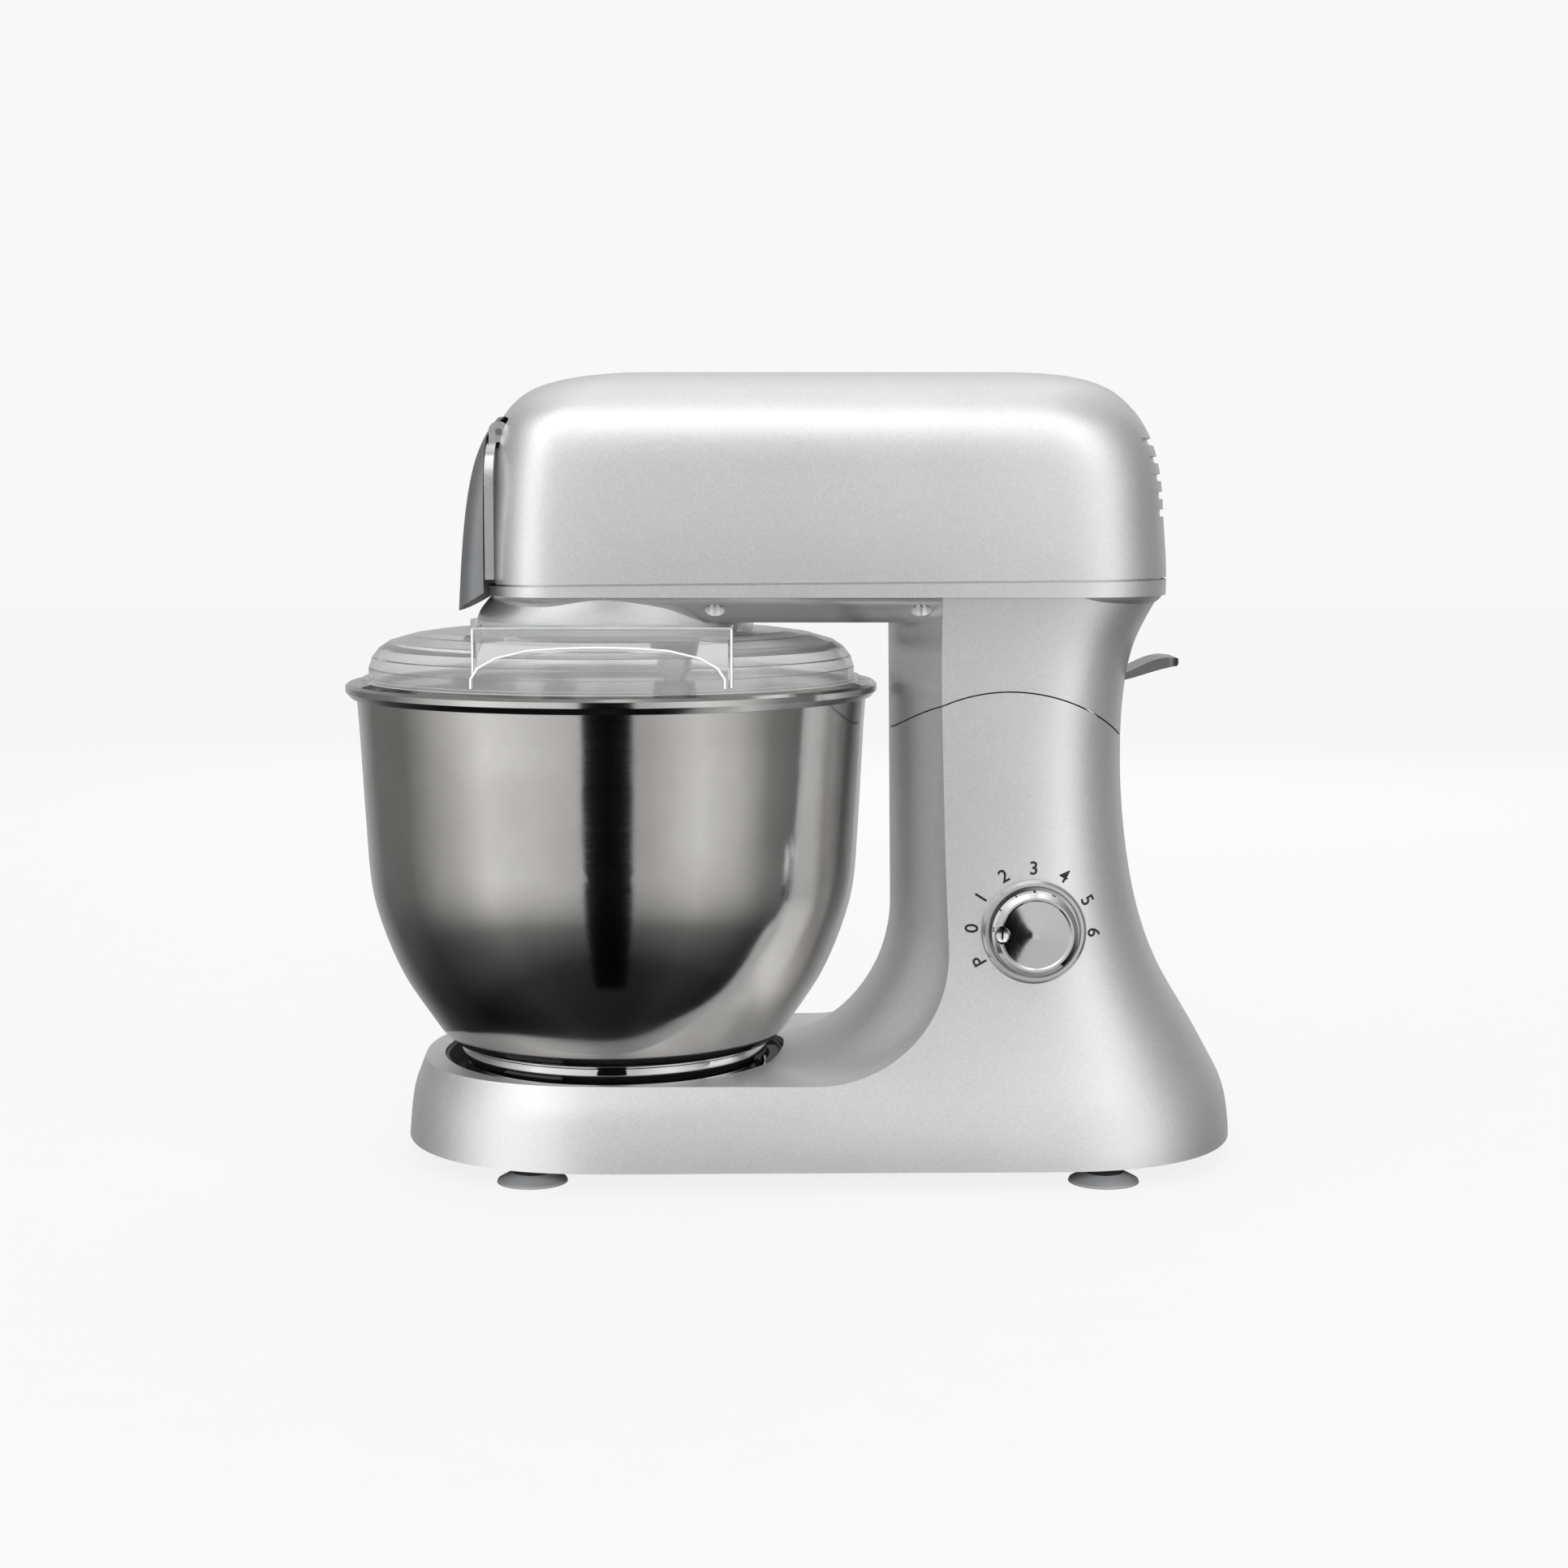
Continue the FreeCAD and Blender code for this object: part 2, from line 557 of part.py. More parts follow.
def cover_solid(inset, back_shift):
    """Bulged flap, closed at the back by a face that follows the trim and then the hinge."""
    wires = []
    for z, front, half in COVER_STATIONS:
        level = z - inset if z > 310 else z
        wires.append(outline(level, front + inset, -90, half - inset, half - inset, 12.0, 10.0, 2.7))
    back = [(-127.8, 200), (-127.8, 308.6), (-127.0, 310.6), (-123.4, 315.0), (-121.0, 316.6), (-121.0, 330)]
    corners = [V(x + back_shift, -100, z) for x, z in back] + [V(-170, -100, 330), V(-170, -100, 200)]
    slant = prism([V(-160, -100, 224.2), V(-110, -100, 255.0), V(-110, -100, 190), V(-160, -100, 190)],
                  V(0, 200, 0))
    return skin(wires).common(prism(corners, V(0, 200, 0))), slant


def front_cover():
    outer, slant = cover_solid(0.0, 0.0)
    inner, _ = cover_solid(2.2, 6.0)
    knuckles = []
    for y in (-26, 18):
        arm = block(-127.5, -120.6, y, y + 8, COVER_PIN_Z, 316.6).common(outer)
        knuckles += [rod(COVER_PIN_X, y, COVER_PIN_Z, 3.4, 8, Y), arm]
    cover = fuse(outer.cut(inner).cut(slant), *knuckles)
    return cover.cut(rod(COVER_PIN_X, -60, COVER_PIN_Z, 1.55, 120, Y))


def front_trim():
    """Bright plate between the head and the cover, with the accessory opening and the pin's ears."""
    x0, x1 = -127.3, SEAT_X
    shoulder = math.sqrt(0.5)
    low, high, half, bend = 249.5, 307.2, 45.5, 20.0
    edges = [
        Part.makeLine(V(x0, -half, low), V(x0, half, low)),
        Part.makeLine(V(x0, half, low), V(x0, half, high - bend)),
        Part.Arc(V(x0, half, high - bend),
                 V(x0, half - bend + bend * shoulder, high - bend + bend * shoulder),
                 V(x0, half - bend, high)).toShape(),
        Part.makeLine(V(x0, half - bend, high), V(x0, bend - half, high)),
        Part.Arc(V(x0, bend - half, high),
                 V(x0, bend - half - bend * shoulder, high - bend + bend * shoulder),
                 V(x0, -half, high - bend)).toShape(),
        Part.makeLine(V(x0, -half, high - bend), V(x0, -half, low)),
    ]
    plate = Part.Face(Part.Wire(edges)).extrude(V(x1 - x0, 0, 0))
    plate = plate.cut(rod(x0 - 1, 0, PORT_Z, 14.0, 10, X))
    ears = [block(-126.6, x1, y, y + 2.8, 303.5, COVER_PIN_Z) for y in (-31.4, 28.6)]
    ears += [rod(COVER_PIN_X, y, COVER_PIN_Z, 4.4, 2.8, Y) for y in (-31.4, 28.6)]
    trim = fuse(plate, *ears)
    return trim.cut(rod(COVER_PIN_X, -60, COVER_PIN_Z, 1.5, 120, Y))


def port_ring():
    return fuse(tube(-129.6, 0, PORT_Z, 14.0, 9.8, 7.0, X), tube(-129.6, 0, PORT_Z, 16.5, 9.8, 2.2, X))


# ---------------------------------------------------------------- gears
def gear_points(x, y, z, teeth, root_r, tip_r, root_share, tip_share, phase_deg):
    """Straight-flanked tooth outline. The shares are the tooth's part of one pitch at root and tip."""
    pitch = 2 * math.pi / teeth
    points = []
    for tooth in range(teeth):
        middle = math.radians(phase_deg) + tooth * pitch
        for radius, offset in ((root_r, -root_share), (tip_r, -tip_share), (tip_r, tip_share), (root_r, root_share)):
            a = middle + offset * pitch / 2
            points.append(V(x + radius * math.cos(a), y + radius * math.sin(a), z))
    return points


def spur(x, y, z, height, teeth, phase_deg, add=0.9, ded=1.25, root_share=0.56, tip_share=0.22):
    pitch_r = teeth * MODULE / 2
    points = gear_points(x, y, z, teeth, pitch_r - ded * MODULE, pitch_r + add * MODULE, root_share, tip_share,
                         phase_deg)
    return prism(points, V(0, 0, height))


RING_TEETH = 54
PLANET_TEETH = 18
MAIN_TEETH = 48
PINION_TEETH = 12
WHEEL_TEETH = 20
WORM_R = 6.5
WHEEL_R = WHEEL_TEETH * MODULE / 2
LAY_Y = -(WHEEL_R + WORM_R)
LAY_GAP = (MAIN_TEETH + PINION_TEETH) * MODULE / 2
LAY_X = BOWL_X + math.sqrt(LAY_GAP ** 2 - LAY_Y ** 2)
LAY_DEG = math.degrees(math.atan2(LAY_Y, LAY_X - BOWL_X))


def ring_gear():
    pitch_r = RING_TEETH * MODULE / 2
    teeth = prism(gear_points(BOWL_X, 0, 230, RING_TEETH, pitch_r - 0.9 * MODULE, pitch_r + 1.25 * MODULE,
                              0.78, 0.44, 0.0), V(0, 0, 12))
    return rod(BOWL_X, 0, 231, 50.0, 8.8).cut(teeth)


def planet_carrier():
    disc = turned([(6.0, 221.8), (16, 221.8), (49.0, 223.2), (53.2, 224.6), (54.2, 226.2), (54.2, 229.8), (12, 229.8),
                   (10.6, 231), (10.6, 236), (6.0, 236)], BOWL_X)
    nose = turned([(0, 213.5), (8.2, 213.5), (9.6, 214.8), (11.5, 223.5), (11.5, 226), (0, 226)], BEATER_X)
    carrier = fuse(disc, nose, rod(BEATER_X, 0, 228, 9.0, 3.2))
    return carrier.cut(rod(BEATER_X, 0, 200, 5.05, 60)).cut(rod(BOWL_X, 0, 223.5, 6.0, 20))


def bevel_points(radius, phase_deg):
    pitch = 2 * radius / 18
    return gear_points(0, 0, 0, 18, radius - 0.85 * pitch, radius + 0.6 * pitch, 0.54, 0.22, phase_deg)


def bevel(apex_far, apex_near, phase_deg):
    """Bevel gear about +Z with its apex at the origin and its teeth below it."""
    wires = []
    for reach in (apex_far, apex_near):
        wires.append(polygon([V(p.x, p.y, -reach) for p in bevel_points(reach, phase_deg)]))
    return Part.makeLoft(wires, True, True)


def main_spindle():
    gear = bevel(14.0, 8.6, 0.0)
    gear.translate(V(BOWL_X, 0, PORT_Z))
    return fuse(rod(BOWL_X, 0, 223.5, 6.0, PORT_Z - 8.6 - 223.5), gear)


def port_shaft():
    gear = bevel(14.0, 8.6, 10.0)
    gear.rotate(V(0, 0, 0), Y, 90)
    gear.translate(V(BOWL_X, 0, PORT_Z))
    shaft = rod(-127.5, 0, PORT_Z, 5.0, 127.5 + BOWL_X - 9.0, X)
    socket = rod(-128.5, 0, PORT_Z, 9.2, 6.5, X)
    hole = block(-135, -124.5, -3.3, 3.3, PORT_Z - 3.3, PORT_Z + 3.3)
    return fuse(gear, shaft, socket).cut(hole)


def spindle_gear():
    gear = spur(BOWL_X, 0, 256, 8, MAIN_TEETH, LAY_DEG)
    hub = rod(BOWL_X, 0, 251, 11, 5.5)
    gear = fuse(gear, hub)
    for turn in range(6):
        a = math.radians(60 * turn)
        gear = gear.cut(rod(BOWL_X + 23 * math.cos(a), 23 * math.sin(a), 250, 6.0, 20))
    return gear.cut(rod(BOWL_X, 0, 240, 6.0, 40))


def layshaft_pinion():
    gear = spur(LAY_X, LAY_Y, 255.5, 9, PINION_TEETH, LAY_DEG + 180 - 180 / PINION_TEETH)
    return gear.cut(rod(LAY_X, LAY_Y, 250, 4.0, 20))


def worm_wheel():
    """Wheel whose teeth lean to follow the worm's double thread."""
    height, lean_deg = 7.0, 6.17
    wires = []
    for z, turn in ((MOTOR_Z - height / 2, -lean_deg / 2), (MOTOR_Z + height / 2, lean_deg / 2)):
        wires.append(polygon(gear_points(LAY_X, LAY_Y, z, WHEEL_TEETH, WHEEL_R - 1.25 * MODULE,
                                         WHEEL_R + 0.8 * MODULE, 0.5, 0.2, 90 + turn)))
    wheel = Part.makeLoft(wires, True, True)
    hub = rod(LAY_X, LAY_Y, MOTOR_Z - height / 2 - 5, 8.0, 6.0)
    return fuse(wheel, hub).cut(rod(LAY_X, LAY_Y, 260, 4.0, 50))


def worm():
    """Double-threaded worm on the front end of the motor shaft."""
    pitch = math.pi * MODULE
    lead, turns = 2 * pitch, 2.6
    start_x = LAY_X - 3 * pitch
    parts = [rod(start_x - 2, 0, MOTOR_Z, 4.95, lead * turns + 4, X)]
    for half_turn in (0, 1):
        helix = Part.makeHelix(lead, lead * turns, 4.9)
        profile = polygon([V(4.6, 0, -1.25), V(7.6, 0, -0.5), V(7.6, 0, 0.5), V(4.6, 0, 1.25)])
        thread = Part.Wire(helix.Edges).makePipeShell([profile], True, True)
        thread.rotate(V(0, 0, 0), Z, 180 * half_turn)
        thread.rotate(V(0, 0, 0), Y, 90)
        thread.translate(V(start_x, 0, MOTOR_Z))
        parts.append(thread)
    return fuse(*parts)


# ---------------------------------------------------------------- drive
def drive_frame():
    """Cast frame: plate over the planetary gear, motor pads and the arm that turns on the hinge pin."""
    plate = fuse(rod(BOWL_X, 0, FRAME_Z, 49.5, FRAME_TOP_Z - FRAME_Z), block(BOWL_X, 118, -34, 34, FRAME_Z, FRAME_TOP_Z))
    pads = [block(10, 48, y, y + 8, FRAME_TOP_Z - 1, 256) for y in (-30, 22)]
    pads += [block(72, 81, y, y + 8, FRAME_TOP_Z - 1, 257) for y in (-26, 18)]
    arm = block(85.5, 104.0, -12, 12, PIVOT_Z + 2, FRAME_Z + 1)
    knee = rod(PIVOT_X, -12, PIVOT_Z, 12.5, 24, Y)
    ribs = [block(70, 118, y, y + 4, 222, FRAME_Z + 1) for y in (-12, 8)]
    port_post = block(-121.5, -117.5, -9, 9, FRAME_TOP_Z - 1, 289)
    frame = fuse(plate, arm, knee, port_post, *pads, *ribs)
    frame = frame.cut(rod(PIVOT_X, -30, PIVOT_Z, 5.05, 60, Y))
    frame = frame.cut(rod(BOWL_X, 0, 230, 8.5, 30)).cut(rod(-130, 0, PORT_Z, 5.05, 20, X))
    return frame.cut(rod(LAY_X, LAY_Y, 238, 4.05, 8))


def spindle_bush():
    return fuse(tube(BOWL_X, 0, 238.0, 8.5, 6.05, 11.5), tube(BOWL_X, 0, 244.1, 11.5, 6.05, 5.4))


POST_PLACES = [(x, y) for x in (-57.0, -14.0) for y in (-46.0, 46.0)]


def gearbox_bridge():
    """Bridge over the gears that holds the worm's front end and the layshaft's top."""
    plate = block(-62, -9, -50, 50, 296, 299)
    posts = [rod(x, y, FRAME_TOP_Z + 0.05, 3.6, 52.5) for x, y in POST_PLACES]
    nose = block(-62, -57.5, -8, 8, 277, 297)
    bridge = fuse(plate, nose, *posts)
    bridge = bridge.cut(rod(-70, 0, MOTOR_Z, 4.05, 30, X))
    return bridge.cut(rod(LAY_X, LAY_Y, 290, 4.05, 12))


def motor_stator():
    stack = block(12, 46, -33, 33, 256, 314)
    stack = stack.cut(rod(0, 0, MOTOR_Z, 19.8, 60, X))
    for side in (-1, 1):
        window = block(0, 60, min(17 * side, 28.2 * side), max(17 * side, 28.2 * side), MOTOR_Z - 10, MOTOR_Z + 10)
        stack = stack.cut(window)
    for y, z in BOLT_PLACES:
        stack = stack.cut(rod(0, y, z, 2.0, 60, X))
    return stack


BOLT_PLACES = [(y, z) for y in (-28.5, 28.5) for z in (MOTOR_Z - 24.5, MOTOR_Z + 24.5)]


def field_coils():
    coils = []
    for side in (-1, 1):
        ring = tube(4, 0, MOTOR_Z, 27.6, 20.4, 50, X)
        low, high = (MOTOR_Z + 0.6, MOTOR_Z + 40) if side > 0 else (MOTOR_Z - 40, MOTOR_Z - 0.6)
        coil = ring.common(block(0, 60, -40, 40, low, high))
        core = block(11.6, 46.4, -40, 40, MOTOR_Z + 9.6, MOTOR_Z + 60) if side > 0 else \
            block(11.6, 46.4, -40, 40, MOTOR_Z - 60, MOTOR_Z - 9.6)
        coils.append(coil.cut(core))
    return coils


def stator_bolts():
    return [fuse(rod(9, y, z, 2.0, 76, X), rod(6, y, z, 3.6, 3.2, X), rod(81.2, y, z, 3.6, 3.0, X))
            for y, z in BOLT_PLACES]


def end_bracket():
    plate = block(76, 81, -32, 32, MOTOR_Z - 28, MOTOR_Z + 28)
    cup = rod(70, 0, MOTOR_Z, 12.5, 8, X)
    bracket = fuse(plate, cup).cut(rod(60, 0, MOTOR_Z, 9.5, 17.0, X)).cut(rod(60, 0, MOTOR_Z, 5.5, 40, X))
    for side in (-1, 1):
        window = block(70, 90, min(14 * side, 24 * side), max(14 * side, 24 * side), MOTOR_Z - 18, MOTOR_Z + 18)
        bracket = bracket.cut(window)
    for y, z in BOLT_PLACES:
        bracket = bracket.cut(rod(70, y, z, 2.0, 30, X))
    return bracket


def motor_bearings():
    return [tube(70.5, 0, MOTOR_Z, 9.5, 4.03, 6.4, X), tube(-4, 0, MOTOR_Z, 9.5, 4.03, 6.0, X)]


def front_bearing_stand():
    stand = fuse(block(-4, 2, -14, 14, FRAME_TOP_Z - 1, 285), rod(-4, 0, MOTOR_Z, 14, 6, X))
    return stand.cut(rod(-10, 0, MOTOR_Z, 9.5, 20, X))


def brush_parts():
    holders, brushes = [], []
    for side in (-1, 1):
        y0, y1 = sorted((12.4 * side, 31.0 * side))
        b0, b1 = sorted((12.2 * side, 26.0 * side))
        holders.append(block(58, 68, y0, y1, MOTOR_Z - 5, MOTOR_Z + 5).cut(
            block(59.5, 66.5, y0 - 1, y1 + 1, MOTOR_Z - 3.5, MOTOR_Z + 3.5)))
        brushes.append(block(59.5, 66.5, b0, b1, MOTOR_Z - 3.5, MOTOR_Z + 3.5))
    return holders, brushes


def motor_shaft():
    return fuse(worm(), rod(-64, 0, MOTOR_Z, 4.0, 168, X))


def armature():
    stack = rod(12, 0, MOTOR_Z, 19.0, 34, X)
    for slot in range(12):
        groove = block(0, 60, -1.0, 1.0, MOTOR_Z + 12.5, MOTOR_Z + 25)
        groove.rotate(V(0, 0, MOTOR_Z), X, 30 * slot)
        stack = stack.cut(groove)
    winding = fuse(rod(5, 0, MOTOR_Z, 15.5, 7.5, X), rod(45.5, 0, MOTOR_Z, 15.5, 8, X))
    return fuse(stack, winding).cut(rod(0, 0, MOTOR_Z, 4.0, 80, X))


def commutator():
    drum = rod(56, 0, MOTOR_Z, 12.0, 13, X)
    for slot in range(24):
        groove = block(50, 80, -0.3, 0.3, MOTOR_Z + 10.8, MOTOR_Z + 14)
        groove.rotate(V(0, 0, MOTOR_Z), X, 15 * slot)
        drum = drum.cut(groove)
    return drum.cut(rod(50, 0, MOTOR_Z, 4.0, 40, X))


def cooling_fan():
    disc = fuse(rod(90, 0, MOTOR_Z, 28, 1.8, X), rod(90, 0, MOTOR_Z, 8, 11, X))
    blades = []
    for index in range(10):
        blade = block(91, 101, -1.0, 1.0, MOTOR_Z + 9, MOTOR_Z + 27)
        blade.rotate(V(96, 0, MOTOR_Z + 18), Z, 20)
        blade.rotate(V(0, 0, MOTOR_Z), X, 36 * index)
        blades.append(blade)
    return fuse(disc, *blades).cut(rod(80, 0, MOTOR_Z, 4.0, 40, X))


def output_shaft():
    shaft = fuse(rod(BEATER_X, 0, 184, 5.0, 54.5), rod(BEATER_X, 0, 208, 7.5, 5.0))
    return shaft.cut(drive_pin())


def planet_pinion():
    gear = spur(BEATER_X, 0, 231.6, 7.2, PLANET_TEETH, 0.0)
    return gear.cut(rod(BEATER_X, 0, 228, 5.0, 20))


def drive_pin():
    return rod(BEATER_X - 9.5, 0, 199.0, 1.8, 19, X)


BEATER_OUTLINE = [(0, 61.5), (24, 63.5), (44, 72), (56, 90), (61, 112), (60, 134), (50, 154), (30, 168), (9, 178)]
BEATER_WINDOW = [(4.5, 72), (24, 73.5), (37, 80), (46, 94), (50, 112), (49, 130), (41, 145), (24, 157), (4.5, 166)]


def flat_beater():
    def plate(points, thickness, closed_x):
        right = [V(BEATER_X + x, 0, z) for x, z in points]
        curve = Part.BSplineCurve()
        curve.interpolate(right)
        axis_low, axis_high = V(BEATER_X + closed_x, 0, points[0][1]), V(BEATER_X + closed_x, 0, points[-1][1])
        corners = [right[-1], axis_high, axis_low, right[0]]
        edges = [curve.toShape()]
        edges += [Part.makeLine(a, b) for a, b in zip(corners, corners[1:]) if (a - b).Length > 0.01]
        half = Part.Face(Part.Wire(Part.__sortEdges__(edges))).extrude(V(0, thickness, 0))
        half.translate(V(0, -thickness / 2, 0))
        return half
    half = plate(BEATER_OUTLINE, 7.0, 0.0).cut(plate(BEATER_WINDOW, 12.0, 4.5))
    ribs = [block(BEATER_X + 4, BEATER_X + 52, -2.2, 2.2, z, z + 5) for z in (100, 128)]
    half = fuse(half, *[rib.common(plate(BEATER_OUTLINE, 7.0, 0.0)) for rib in ribs])
    other = half.mirror(V(BEATER_X, 0, 0), X)
    hub = fuse(rod(BEATER_X, 0, 170, 9.0, 34), turned([(0, 160), (7, 162), (9, 172), (0, 172)], BEATER_X))
    beater = fuse(half, other, hub)
    beater = beater.cut(rod(BEATER_X, 0, 183.9, 5.0, 40))
    return beater.cut(block(BEATER_X - 12, BEATER_X + 12, -1.85, 1.85, 197.15, 220))


# ---------------------------------------------------------------- splash guard
LID_TOP_Z = 226.6


def lid_profile(inset):
    """Half section of the clear dome, outer surface inset by its wall."""
    return [(105.0 - inset, 205.4), (105.0 - inset, 211.0), (103.6 - inset, 215.4), (100.5 - inset * 0.9, 219.4),
            (96.0 - inset * 0.7, 222.4 - inset * 0.7), (86.0, 225.2 - inset), (76.0, LID_TOP_Z - inset),
            (62.4, LID_TOP_Z + 0.4 - inset)]


def lid_dome(inset):
    profile = lid_profile(inset)
    points = [(0, profile[0][1])] + profile + [(0, profile[-1][1])]
    return turned(points, BOWL_X)


def splash_guard():
    """Clear guard on the head: dome, collar round the boss and an open filler chute towards the front side."""
    wall = 1.8
    chute_x0, chute_x1, chute_y, chute_top = BOWL_X - 50.5, BOWL_X + 54.0, -91.8, 231.5
    outer = lid_dome(0.0)
    inner = turned([(0, 200)] + [(105.0 - wall, 200)] + lid_profile(wall)[1:] + [(0, LID_TOP_Z + 0.4 - wall)], BOWL_X)
    flange = turned([(103.0, 205.4), (107.5, 205.4), (107.5, 206.8), (103.0, 206.8)], BOWL_X)
    collar = turned([(59.5, 222.4), (61.3, 222.4), (61.3, 231.2), (59.5, 231.2)], BOWL_X)
    shelf = turned([(60.0, LID_TOP_Z + 0.4 - wall), (64, LID_TOP_Z + 0.2 - wall), (64, LID_TOP_Z + 0.3),
                    (60.0, LID_TOP_Z + 0.4)], BOWL_X)
    dome = fuse(outer.cut(inner).cut(rod(BOWL_X, 0, 190, 60.5, 60)), flange, collar, shelf)
    box_outer = block(chute_x0, chute_x1, chute_y, -63.0, 206.9, chute_top)
    box_inner = block(chute_x0 + wall, chute_x1 - wall, chute_y + wall, -62.0, 190, 250)
    walls = box_outer.cut(box_inner).cut(inner)
    dome = dome.cut(block(chute_x0 + wall, chute_x1 - wall, -110, -64.5, 207.0, 250).common(box_inner))
    return fuse(dome, walls)


def latch_lever():
    """Paddle behind the neck and the hub that it turns on."""
    hub = rod(LEVER_X, -15.5, LEVER_Z, 4.6, 39.0, Y)
    low = [V(134, -14.5, 204.6), V(147, -14.5, 206.4), V(154.2, -14.5, 208.6), V(161, -14.5, 210.5), V(165.5, -14.5, 211.4)]
    high = [V(165.5, -14.5, 215.0), V(160.5, -14.5, 215.1), V(154, -14.5, 213.2), V(147, -14.5, 209.9), V(134, -14.5, 208.6)]
    lower, upper = Part.BSplineCurve(), Part.BSplineCurve()
    lower.interpolate(low)
    upper.interpolate(high)
    nose = Part.Arc(low[-1], V(167.8, -14.5, 213.3), high[0])
    edges = [lower.toShape(), nose.toShape(), upper.toShape(), Part.makeLine(high[-1], low[0])]
    paddle = Part.Face(Part.Wire(edges)).extrude(V(0, 29, 0))
    plan = [block(130, 161.8, -14.5, 14.5, 195, 225), block(130, 167.8, -8.5, 8.5, 195, 225)]
    plan += [rod(161.8, y, 195, 6.0, 30) for y in (-8.5, 8.5)]
    paddle = paddle.common(fuse(*plan))
    return fuse(paddle, hub).cut(rod(LEVER_X, -30, LEVER_Z, 2.05, 60, Y))


def latch_pawl():
    """Steel arm that reaches from the lever to the catch."""
    tip_r = 61.6
    tooth_x = PIVOT_X + tip_r * math.cos(math.radians(86))
    tooth_z = PIVOT_Z + tip_r
    arm = prism([V(tooth_x - 2.6, 24.2, tooth_z), V(tooth_x + 2.6, 24.2, tooth_z), V(tooth_x + 3.2, 24.2, 208),
                 V(LEVER_X, 24.2, 202.8), V(LEVER_X, 24.2, 211.2), V(tooth_x - 3.2, 24.2, 214)], V(0, 3.0, 0))
    return fuse(arm, rod(LEVER_X, 23.6, LEVER_Z, 4.6, 3.6, Y)).cut(rod(LEVER_X, 10, LEVER_Z, 2.05, 40, Y))


def lever_pin():
    return rod(LEVER_X, -32.5, LEVER_Z, 2.0, 65, Y)


def latch_spring():
    return tube(LEVER_X, -24.5, LEVER_Z, 3.8, 2.3, 8, Y)


# ---------------------------------------------------------------- every node
def make_base():
    keep("base_housing", base_housing())
    keep("bottom_plate", bottom_plate())
    keep("bottom_screws", *[screw(x, y, BASE_BOTTOM_Z, 1.9, 9, 3.4, 1.6) for x, y in PLATE_SCREWS + BRACKET_SCREWS])
    keep("foot_cups", *[foot_cup(x, y) for x, y in FOOT_PLACES])
    keep("foot_stems", *[foot_stem(x, y) for x, y in FOOT_PLACES])
    keep("bowl_dock", bowl_dock())
    keep("cord_gland", cord_gland())
    keep("hinge_bracket", hinge_bracket())
    keep("hinge_pin", hinge_pin())
    keep("hinge_washers", *[tube(PIVOT_X, y, PIVOT_Z, 9, 5.0, 3.4, Y) for y in (-15.9, 12.5)])
    keep("latch_catch", latch_catch())
    keep("safety_switch", safety_switch())
    keep("speed_switch", speed_switch())
    keep("control_board", control_board())
    keep("board_parts", *board_parts())
    keep("terminal_block", terminal_block())
    keep("knob_bezel", knob_bezel())


def make_small_movers():
    keep("knob_cap", knob_cap())
    keep("knob_shaft", rod(KNOB_X, -70, KNOB_Z, 3.0, 24, Y))
    keep("mixing_bowl", mixing_bowl())
    keep("bowl_foot_collar", bowl_foot_collar())
    keep("bowl_foot_ring", bowl_foot_ring())
    keep("front_cover", front_cover())
    keep("latch_lever", latch_lever())
    keep("latch_pawl", latch_pawl())


def make_head():
    keep("head_top_shell", head_top_shell())
    keep("head_lower_shell", head_lower_shell())
    keep("head_screws", *[screw(x, y, 240.6, 1.6, 12, 3.6, 2.2) for x, y in HEAD_SCREWS])
    keep("front_trim", front_trim())
    keep("port_ring", port_ring())
    keep("cover_pin", rod(COVER_PIN_X, -31.4, COVER_PIN_Z, 1.5, 62.8, Y))
    keep("splash_guard", splash_guard())
    keep("lever_pin", lever_pin())
    keep("latch_spring", latch_spring())
    keep("drive_frame", fuse(drive_frame(), front_bearing_stand()))
    keep("spindle_bush", spindle_bush())
    keep("gearbox_bridge", gearbox_bridge())
    keep("ring_gear", ring_gear())


def make_motor():
    holders, brushes = brush_parts()
    keep("motor_stator", motor_stator())
    keep("field_coils", *field_coils())
    keep("stator_bolts", *stator_bolts())
    keep("motor_end_bracket", end_bracket())
    keep("motor_bearings", *motor_bearings())
    keep("brush_holders", *holders)
    keep("carbon_brushes", *brushes)
    keep("motor_shaft", motor_shaft())
    keep("armature", armature())
    keep("commutator", commutator())
    keep("cooling_fan", cooling_fan())


def make_gears():
    keep("planet_carrier", planet_carrier())
    keep("main_spindle", main_spindle())
    keep("spindle_gear", spindle_gear())
    keep("layshaft", rod(LAY_X, LAY_Y, 241, 4.0, 57.5))
    keep("layshaft_pinion", layshaft_pinion())
    keep("worm_wheel", worm_wheel())
    keep("port_shaft", port_shaft())
    keep("output_shaft", output_shaft())
    keep("planet_pinion", planet_pinion())
    keep("drive_pin", drive_pin())
    keep("flat_beater", flat_beater())


def write_all():
    os.makedirs("parts", exist_ok=True)
    for name, shape in NODES.items():
        shape.exportStep("parts/" + name + ".step")
        box = shape.optimalBoundingBox(False)
        print(name, len(shape.Solids), round(shape.Volume), shape.isValid(),
              [round(v, 1) for v in (box.XMin, box.XMax, box.YMin, box.YMax, box.ZMin, box.ZMax)])
    print(len(NODES), "nodes")


make_base()
make_small_movers()
make_head()
make_motor()
make_gears()
write_all()
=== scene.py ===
"""Stand mixer: materials, fine detail pieces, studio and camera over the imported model."""
import json
import math

import bmesh
import bpy
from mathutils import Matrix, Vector
from mathutils.bvhtree import BVHTree


